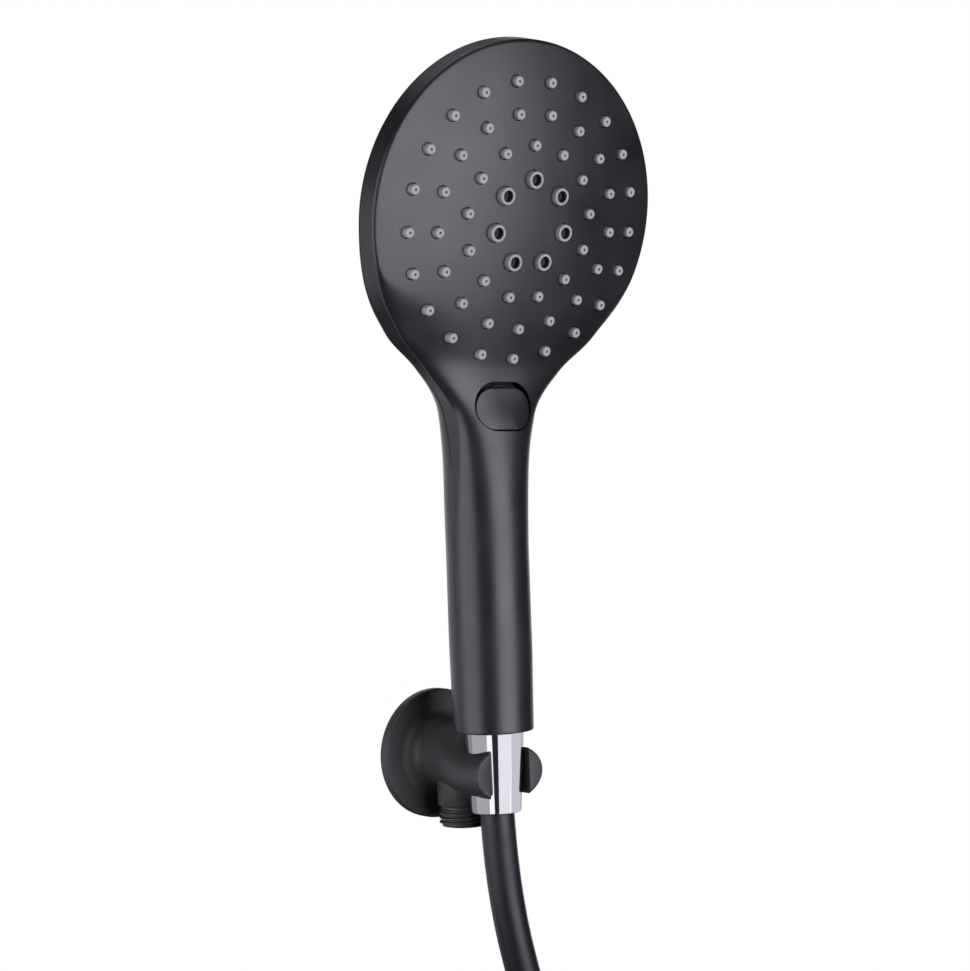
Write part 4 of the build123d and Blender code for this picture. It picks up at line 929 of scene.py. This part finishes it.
half_w = np.concatenate([half_w, half_w[-1] - ARM_EDGE * (1 - np.cos(end_turn)), [0.0]])
half_h = np.concatenate([half_h, half_h[-1] - ARM_EDGE * (1 - np.cos(end_turn)), [0.0]])
drop = np.concatenate([ease, np.ones(len(end_turn) + 1)]) * ARM_DROP
station_y = np.concatenate([station_y, station_y[-1] + ARM_EDGE * np.sin(end_turn), [-ARM_END_Y]])
round_angle = np.arange(ELBOW_SIDES) * 2 * np.pi / ELBOW_SIDES
arm = np.stack(np.broadcast_arrays(
    half_w[:, None] * np.cos(round_angle),
    -station_y[:, None],
    half_h[:, None] * np.sin(round_angle) - drop[:, None],
), -1)
elbow = grid_object("elbow_form", [(arm, True)])
print("elbow", len(arm), "rows")

# %% [markdown]
# The outlet's thread
#
# The hose's far nut screws on below the arm. A pipe thread could be swept along a helix. Here it is a wave
# of the radius over angle and height, so the mesh is one clean grid and the thread fades out at both ends.

# %% Wall elbow outlet with its thread
OUTLET_Y = -20.8
OUTLET_NECK_R = 10.9
OUTLET_END_Z = -28.0
THREAD_TOP_Z = -20.7
THREAD_R = 10.478
THREAD_MINOR_R = 9.32
THREAD_PITCH = 1.814
THREAD_ROWS = 90
THREAD_SIDES = 96
THREAD_FADES = (1.0, 0.9)
CREST_GAIN = 1.3
CREST_SHIFT = 0.1
OUTLET_MOUTH_R = 8.9
UNDERCUT_Z = -19.9
NECK_CHAMFER = 0.3
NECK_CHAMFER_Z = -19.5
NECK_END_Z = -19.1
NECK_ROOT_Z = -3.0
WATERWAY_R = 6.0
WATERWAY_TOP_Z = -16.0

thread_z = np.linspace(OUTLET_END_Z, THREAD_TOP_Z, THREAD_ROWS)[:, None]
thread_a = np.arange(THREAD_SIDES) * 2 * np.pi / THREAD_SIDES
wave = 0.5 + 0.5 * np.cos(2 * np.pi * (thread_z / THREAD_PITCH - thread_a / (2 * np.pi)))
fade_low = smooth_step((thread_z - OUTLET_END_Z) / THREAD_FADES[0])
fade_high = smooth_step((THREAD_TOP_Z - thread_z) / THREAD_FADES[1])
crest = smooth_step(wave * CREST_GAIN - CREST_SHIFT) * (fade_low * fade_high)
thread_r = THREAD_MINOR_R + (THREAD_R - THREAD_MINOR_R) * crest
thread = np.stack(np.broadcast_arrays(
    thread_r * np.cos(thread_a), OUTLET_Y + thread_r * np.sin(thread_a), thread_z), -1)


def ring_at(radius, z):
    """Circle of the outlet at a height."""
    circle = radius * np.cos(thread_a), OUTLET_Y + radius * np.sin(thread_a), np.full(len(thread_a), z)
    return np.stack(circle, -1)[None]


outlet_rows = np.concatenate([
    ring_at(0.0, WATERWAY_TOP_Z),
    ring_at(WATERWAY_R, WATERWAY_TOP_Z),
    ring_at(WATERWAY_R, OUTLET_END_Z),
    ring_at(OUTLET_MOUTH_R, OUTLET_END_Z),
    thread,
    ring_at(THREAD_MINOR_R, UNDERCUT_Z),
    ring_at(OUTLET_NECK_R - NECK_CHAMFER, NECK_CHAMFER_Z),
    ring_at(OUTLET_NECK_R, NECK_END_Z),
    ring_at(OUTLET_NECK_R, NECK_ROOT_Z),
    ring_at(0.0, NECK_ROOT_Z),
])
carve(elbow, grid_object("outlet", [(outlet_rows, True)]), "UNION")
print("outlet", len(outlet_rows), "rows")

# %% [markdown]
# The holder's socket and slot
#
# The nut's cone sits in a conical socket, and the hose is drawn out through the slot in front of it. Both
# are cut by exact booleans, the socket with the cone's own slope. A small bevel breaks the sharp edges.

# %% Socket and slot of the holder
SOCKET_GAP = 0.12
SOCKET_REACH = 40.0
SLOT_HALF = 9.86
SLOT_FRONT_Y = -60.0
ELBOW_SOFT = 0.45
ELBOW_SOFT_ANGLE = math.radians(50)


def cone_r(z):
    """Radius of the chrome nut's cone at a height, carried on in a straight line."""
    return CONE_END_R + (CONE_TOP_R - CONE_END_R) * (z - CONE_END_Z) / (CONE_FULL_Z - CONE_END_Z)


socket_rows = [(cone_r(z) + SOCKET_GAP, z) for z in (-SOCKET_REACH, SOCKET_REACH)]
socket_line = [(0, -SOCKET_REACH), *socket_rows, (0, SOCKET_REACH)]
socket = lathe(socket_line, HANDLE_ORIGIN, UP, sides=128)
carve(elbow, grid_object("socket", [(socket, True)]))
slot_corners = [
    (-SLOT_HALF, SLOT_FRONT_Y), (SLOT_HALF, SLOT_FRONT_Y),
    (SLOT_HALF, HANDLE_Y), (-SLOT_HALF, HANDLE_Y),
]
slot_ends = (-SOCKET_REACH, SOCKET_REACH)
slot_low, slot_high = (np.c_[slot_corners, np.full(len(slot_corners), z)] for z in slot_ends)
carve(elbow, grid_object("slot", [(block(slot_low, slot_high), True)]))
soften = elbow.modifiers.new("soften", "BEVEL")
soften.width = ELBOW_SOFT * MM
soften.segments = 2
soften.limit_method = "ANGLE"
soften.angle_limit = ELBOW_SOFT_ANGLE
soften.harden_normals = False
bake_modifiers(elbow)
smooth(elbow, angle=40.0)
dress(elbow, metal_black, "bracket", ("wall_elbow",))

# %% [markdown]
# The far end of the hose
#
# The hose ends in a crimped sleeve and a hexagonal swivel nut that screws onto the elbow's outlet. All of
# it lies outside the picture and is seen from other sides. The sleeve's crimps are a wave in its profile.

# %% Far end sleeve
SLEEVE_R = 8.4
SLEEVE_BORE_R = 7.15
SLEEVE_LENGTH = 13.0
SLEEVE_ROWS = 60
CRIMP_DEPTH = 0.22
CRIMP_PITCH = 2.6
CRIMP_RISE = 8.0

sleeve_z = np.linspace(-SLEEVE_LENGTH, 0, SLEEVE_ROWS)
crimp_fade = smooth_step((0.5 - abs(sleeve_z / SLEEVE_LENGTH + 0.5)) * CRIMP_RISE)
crimp = SLEEVE_R - CRIMP_DEPTH * (0.5 + 0.5 * np.cos(2 * np.pi * sleeve_z / CRIMP_PITCH)) * crimp_fade
sleeve_bore = np.array([(SLEEVE_BORE_R, 0.0), (SLEEVE_BORE_R, -SLEEVE_LENGTH)])
sleeve_line = np.concatenate([sleeve_bore, np.c_[crimp, sleeve_z], sleeve_bore[:1]])
sleeve_rows = lathe(sleeve_line, hose_end, end_way, sides=64)
sleeve = smooth(grid_object("end_sleeve", [(sleeve_rows, True)]), angle=50.0)
dress(sleeve, steel, "hose_set", ("end_ferrule",))

# %% [markdown]
# The far nut
#
# A hexagonal nut has flats, and a chamfer at both ends that leaves curved edges. Its radius is the
# smaller of the hexagon's and the chamfer cone's at each height, so both come from one formula.

# %% Far end nut
HEX_FLATS = 23.0
HEX_START = 5.0
HEX_LENGTH = 16.0
HEX_CHAMFER = 1.3
HEX_CHAMFER_ROWS = 5
HEX_SIDE_ROWS = 6
HEX_SIDES = 144
HEX_END_INSET = 0.4
HEX_END_GROW = 2.45
HEX_COLLAR_R = 6.4
HEX_COLLAR_T = 3.7
HEX_ROOM_R = 9.6
HEX_ROOM_END = 8.0
HEX_THREAD_FOOT = 8.1
HEX_MOUTH_R = 9.9
HEX_MOUTH_CHAMFER = 0.6

hex_a = np.arange(HEX_SIDES) * 2 * np.pi / HEX_SIDES
hex_r = HEX_FLATS / 2 / np.cos(hex_a % (np.pi / 3) - np.pi / 6)
hex_low = np.linspace(0, HEX_CHAMFER, HEX_CHAMFER_ROWS)
hex_middle = np.linspace(HEX_CHAMFER, HEX_LENGTH - HEX_CHAMFER, HEX_SIDE_ROWS + 2)[1:-1]
hex_z = np.concatenate([hex_low, hex_middle, HEX_LENGTH - hex_low[::-1]])
from_end = np.minimum(np.minimum(hex_z, HEX_LENGTH - hex_z), HEX_CHAMFER)
bevel_r = HEX_FLATS / 2 - HEX_END_INSET + HEX_END_GROW * from_end / HEX_CHAMFER
side_r = np.minimum(hex_r[None, :], bevel_r[:, None])
hx, hy, hz = axes_of(end_way)
spoke = np.cos(hex_a)[:, None] * hx + np.sin(hex_a)[:, None] * hy
hex_base = hose_end + HEX_START * hz
hex_rows = hex_base + side_r[..., None] * spoke + hex_z[:, None, None] * hz


def hex_ring(radius, height):
    """Circle inside the hexagonal nut at a height."""
    return (hex_base + radius * spoke + height * hz)[None]


hex_grid = np.concatenate([
    hex_ring(HEX_COLLAR_R, 0.0),
    hex_rows,
    hex_ring(HEX_MOUTH_R, HEX_LENGTH),
    hex_ring(THREAD_MINOR_R, HEX_LENGTH - HEX_MOUTH_CHAMFER),
    hex_ring(THREAD_MINOR_R, HEX_THREAD_FOOT),
    hex_ring(HEX_ROOM_R, HEX_ROOM_END),
    hex_ring(HEX_ROOM_R, HEX_COLLAR_T),
    hex_ring(HEX_COLLAR_R, HEX_COLLAR_T),
    hex_ring(HEX_COLLAR_R, 0.0),
])
hex_nut = smooth(grid_object("end_hex_nut", [(hex_grid, True)]), angle=30.0)
dress(hex_nut, chrome, "far_nut", ("end_nut",))

# %% [markdown]
# The strap
#
# A woven band holds the put-away coil. Its inner and outer outlines are joined into one loop that fits
# the CAD tie. A coarse grain in its finish stands for the weave, which is too fine to model.

# %% Strap round the coil
STRAP_T = 1.4
STRAP_WIDTH = 12.0
STRAP_EDGE_SHARE = 0.92
STRAP_CORNER_LESS = 0.1
STRAP_CORNER_STEPS = 16

tie_low, tie_high = (np.array(corner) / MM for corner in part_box("coil_tie"))
tie_centre = (tie_low + tie_high) / 2
tie_half = (tie_high - tie_low) / 2
strap_out, strap_in = (
    rounded_outline(half_x, half_y, half_x - STRAP_CORNER_LESS, STRAP_CORNER_STEPS)
    for half_x, half_y in (tie_half[:2], tie_half[:2] - STRAP_T)
)
edge_in = STRAP_WIDTH / 2
edge_out = STRAP_WIDTH / 2 * STRAP_EDGE_SHARE
band_edges = (
    (strap_in, -edge_in), (strap_out, -edge_out), (strap_out, edge_out), (strap_in, edge_in),
    (strap_in, -edge_in),
)
band = [np.c_[flat, np.full(len(flat), level)] + tie_centre for flat, level in band_edges]
strap = smooth(grid_object("strap_band", [(np.stack(band), True)]), angle=50.0)
strap_weave = finish("strap_weave", (0.03, 0.03, 0.032), 0.8, grain=1600, bump=0.5, change=0.3)
dress(strap, strap_weave, "hose_set", ("coil_tie",))

# %% [markdown]
# Pieces inside
#
# What is hidden in the shells keeps its CAD shape and gets the finish of the real thing: white mouldings,
# black seals, steel screws and brass tails. The pieces behind the gap of the button are near black with a
# weak reflection: painted shade in the gap.

# %% Finishes of the inner pieces
INNER = (
    (inner_white, ("spray_plate", "manifold", "diverter_rotor", "water_tube")),
    (inner_white, ("inlet_nipple", "flow_limiter")),
    # painted shade: the diverter pieces behind the button's gap are near black so the gap reads as shade
    (behind_gap_painted_shade, ("diverter_housing", "diverter_cover", "plunger")),
    (rubber_black, ("manifold_gasket", "stem_seal", "tube_seals")),
    (rubber_black, ("inlet_washer", "end_washer", "wall_gasket")),
    (steel, ("spray_unit_screws", "hose_ferrule")),
    (brass, ("hose_tail", "end_tail")),
)
for material, names in INNER:
    for node_name in names:
        nodes[node_name].data.materials.clear()
        nodes[node_name].data.materials.append(material)
print("inner pieces", sum(len(names) for material, names in INNER))

# %% [markdown]
# Light
#
# Black plastic shows its form only by what it mirrors. Two tall soft boxes, one on the left and one in
# front on the right, give the handle its two pale stripes and the face its slow fade. Weaker ones behind
# draw the edges and the back. Chrome has its own cards, because it mirrors them twenty times as strongly.

# %% Light
AIM = (0.0, HANDLE_Y * MM, 0.1)
PLASTIC_TINT = (0.985, 0.955, 1.05)
CHROME_TINT = (0.93, 0.94, 1.0)
CARD_LEVEL = -0.15
CARD_TALL = 1.4
CARDS = (
    ("card_right", 43, 1.0, 1.05, 4.3),
    ("card_far_right", 100, 1.0, 1.12, 3.2),
    ("card_stripe", -18, 1.3, 0.46, 2.3),
    ("card_left", -61.5, 1.0, 1.32, 2.5),
    ("card_far_left", -125, 1.0, 1.15, 1.3),
    ("card_back", 167, 1.3, 1.9, 4.5),
)


def soft_box(name, place, width, height, power, tint):
    """Area light at a place, turned to look at the handset's middle."""
    data = bpy.data.lights.new(name, "AREA")
    data.shape = "RECTANGLE"
    data.size = width
    data.size_y = height
    data.energy = power
    data.color = tint
    light = bpy.data.objects.new(name, data)
    z = axes_of(np.asarray(place) - np.asarray(AIM))[2]
    side = np.cross(UP, z)
    side /= np.linalg.norm(side)
    turned = Matrix([[*row] for row in np.stack([side, np.cross(z, side), z], 1)]).to_4x4()
    light.matrix_world = Matrix.Translation(place) @ turned
    bpy.context.scene.collection.objects.link(light)
    return light


def round_object(turned, distance, height):
    """Place at an angle to the right of the camera's own direction, round the handle."""
    way = -math.cos(math.radians(turned)) * forward + math.sin(math.radians(turned)) * level_right
    return way * distance + np.array([0.0, HANDLE_Y * MM, height])


plastic_lights = [
    soft_box("box_right", round_object(46.5, 1.0, 0.03), 0.92, 1.06, 16.6, PLASTIC_TINT),
    soft_box("box_left", round_object(-60, 1.0, 0.05), 1.05, 1.05, 11.0, PLASTIC_TINT),
    soft_box("box_far_left", round_object(-122, 1.0, -0.05), 0.9, 0.95, 2.2, PLASTIC_TINT),
    soft_box("box_back", round_object(180, 1.2, 0.25), 1.7, 1.3, 9.0, PLASTIC_TINT),
    soft_box("box_top", (0.0, 0.2, 1.4), 0.9, 0.9, 4.0, PLASTIC_TINT),
]
chrome_lights = [
    soft_box(name, round_object(turned, distance, CARD_LEVEL), width, CARD_TALL, power, CHROME_TINT)
    for name, turned, distance, width, power in CARDS
]
print("lights", len(plastic_lights), "for plastic and", len(chrome_lights), "for chrome")

# %% [markdown]
# Which light reaches what
#
# Light linking lets a light shine on one collection only. The cards shine on the three bright metal
# pieces. The boxes' collection holds the same pieces marked as left out, so they shine on all the rest.

# %% Which light reaches what
mirrors = bpy.data.collections.new("mirrors")
others = bpy.data.collections.new("all_but_mirrors")
for shiny in (nut, hex_nut, sleeve):
    mirrors.objects.link(shiny)
    others.objects.link(shiny)
for entry in others.collection_objects:
    entry.light_linking.link_state = "EXCLUDE"
for light in chrome_lights:
    light.light_linking.receiver_collection = mirrors
for light in plastic_lights:
    light.light_linking.receiver_collection = others

# %% [markdown]
# Room and floor
#
# The photograph's background is plain white, but a white room would wash out black plastic. So the room
# is white to the camera only and dark to all that mirrors it. The floor is a plain pale sheet below the
# coil that throws no light back.

# %% Room
ROOM_DARK = (0.022, 0.022, 0.024, 1)
WHITE = (1, 1, 1, 1)

world = bpy.data.worlds.new("studio")
bpy.context.scene.world = world
world.use_nodes = True
sky = world.node_tree
sky.nodes["Background"].inputs["Color"].default_value = ROOM_DARK
white = sky.nodes.new("ShaderNodeBackground")
white.inputs["Color"].default_value = WHITE
path = sky.nodes.new("ShaderNodeLightPath")
choose = sky.nodes.new("ShaderNodeMixShader")
sky.links.new(path.outputs["Is Camera Ray"], choose.inputs["Fac"])
sky.links.new(sky.nodes["Background"].outputs["Background"], choose.inputs[1])
sky.links.new(white.outputs["Background"], choose.inputs[2])
sky.links.new(choose.outputs["Shader"], sky.nodes["World Output"].inputs["Surface"])
bpy.context.scene.view_settings.view_transform = "Standard"
print("room", world.name)

# %% Floor
FLOOR_SIZE = 1050.0
FLOOR_GAP = 2.0
FLOOR_GLOW = 0.88

floor_z = cad_box[0][2] / MM - FLOOR_GAP
ends = np.linspace(-FLOOR_SIZE / 2, FLOOR_SIZE / 2, 2)
fx, fy = np.meshgrid(ends, ends, indexing="ij")
floor = grid_object("floor", [(np.stack([fx, fy, np.full_like(fx, floor_z)], -1), False)])
pale = finish("pale_floor", (0.6, 0.6, 0.6), 0.9, change=0.01)
pale_shader = pale.node_tree.nodes["Principled BSDF"]
pale_shader.inputs["Emission Color"].default_value = WHITE
pale_shader.inputs["Emission Strength"].default_value = FLOOR_GLOW
floor.data.materials.append(pale)
floor.visible_glossy = False
floor.visible_diffuse = False
floor.visible_shadow = False
print("floor at", round(floor_z, 1))
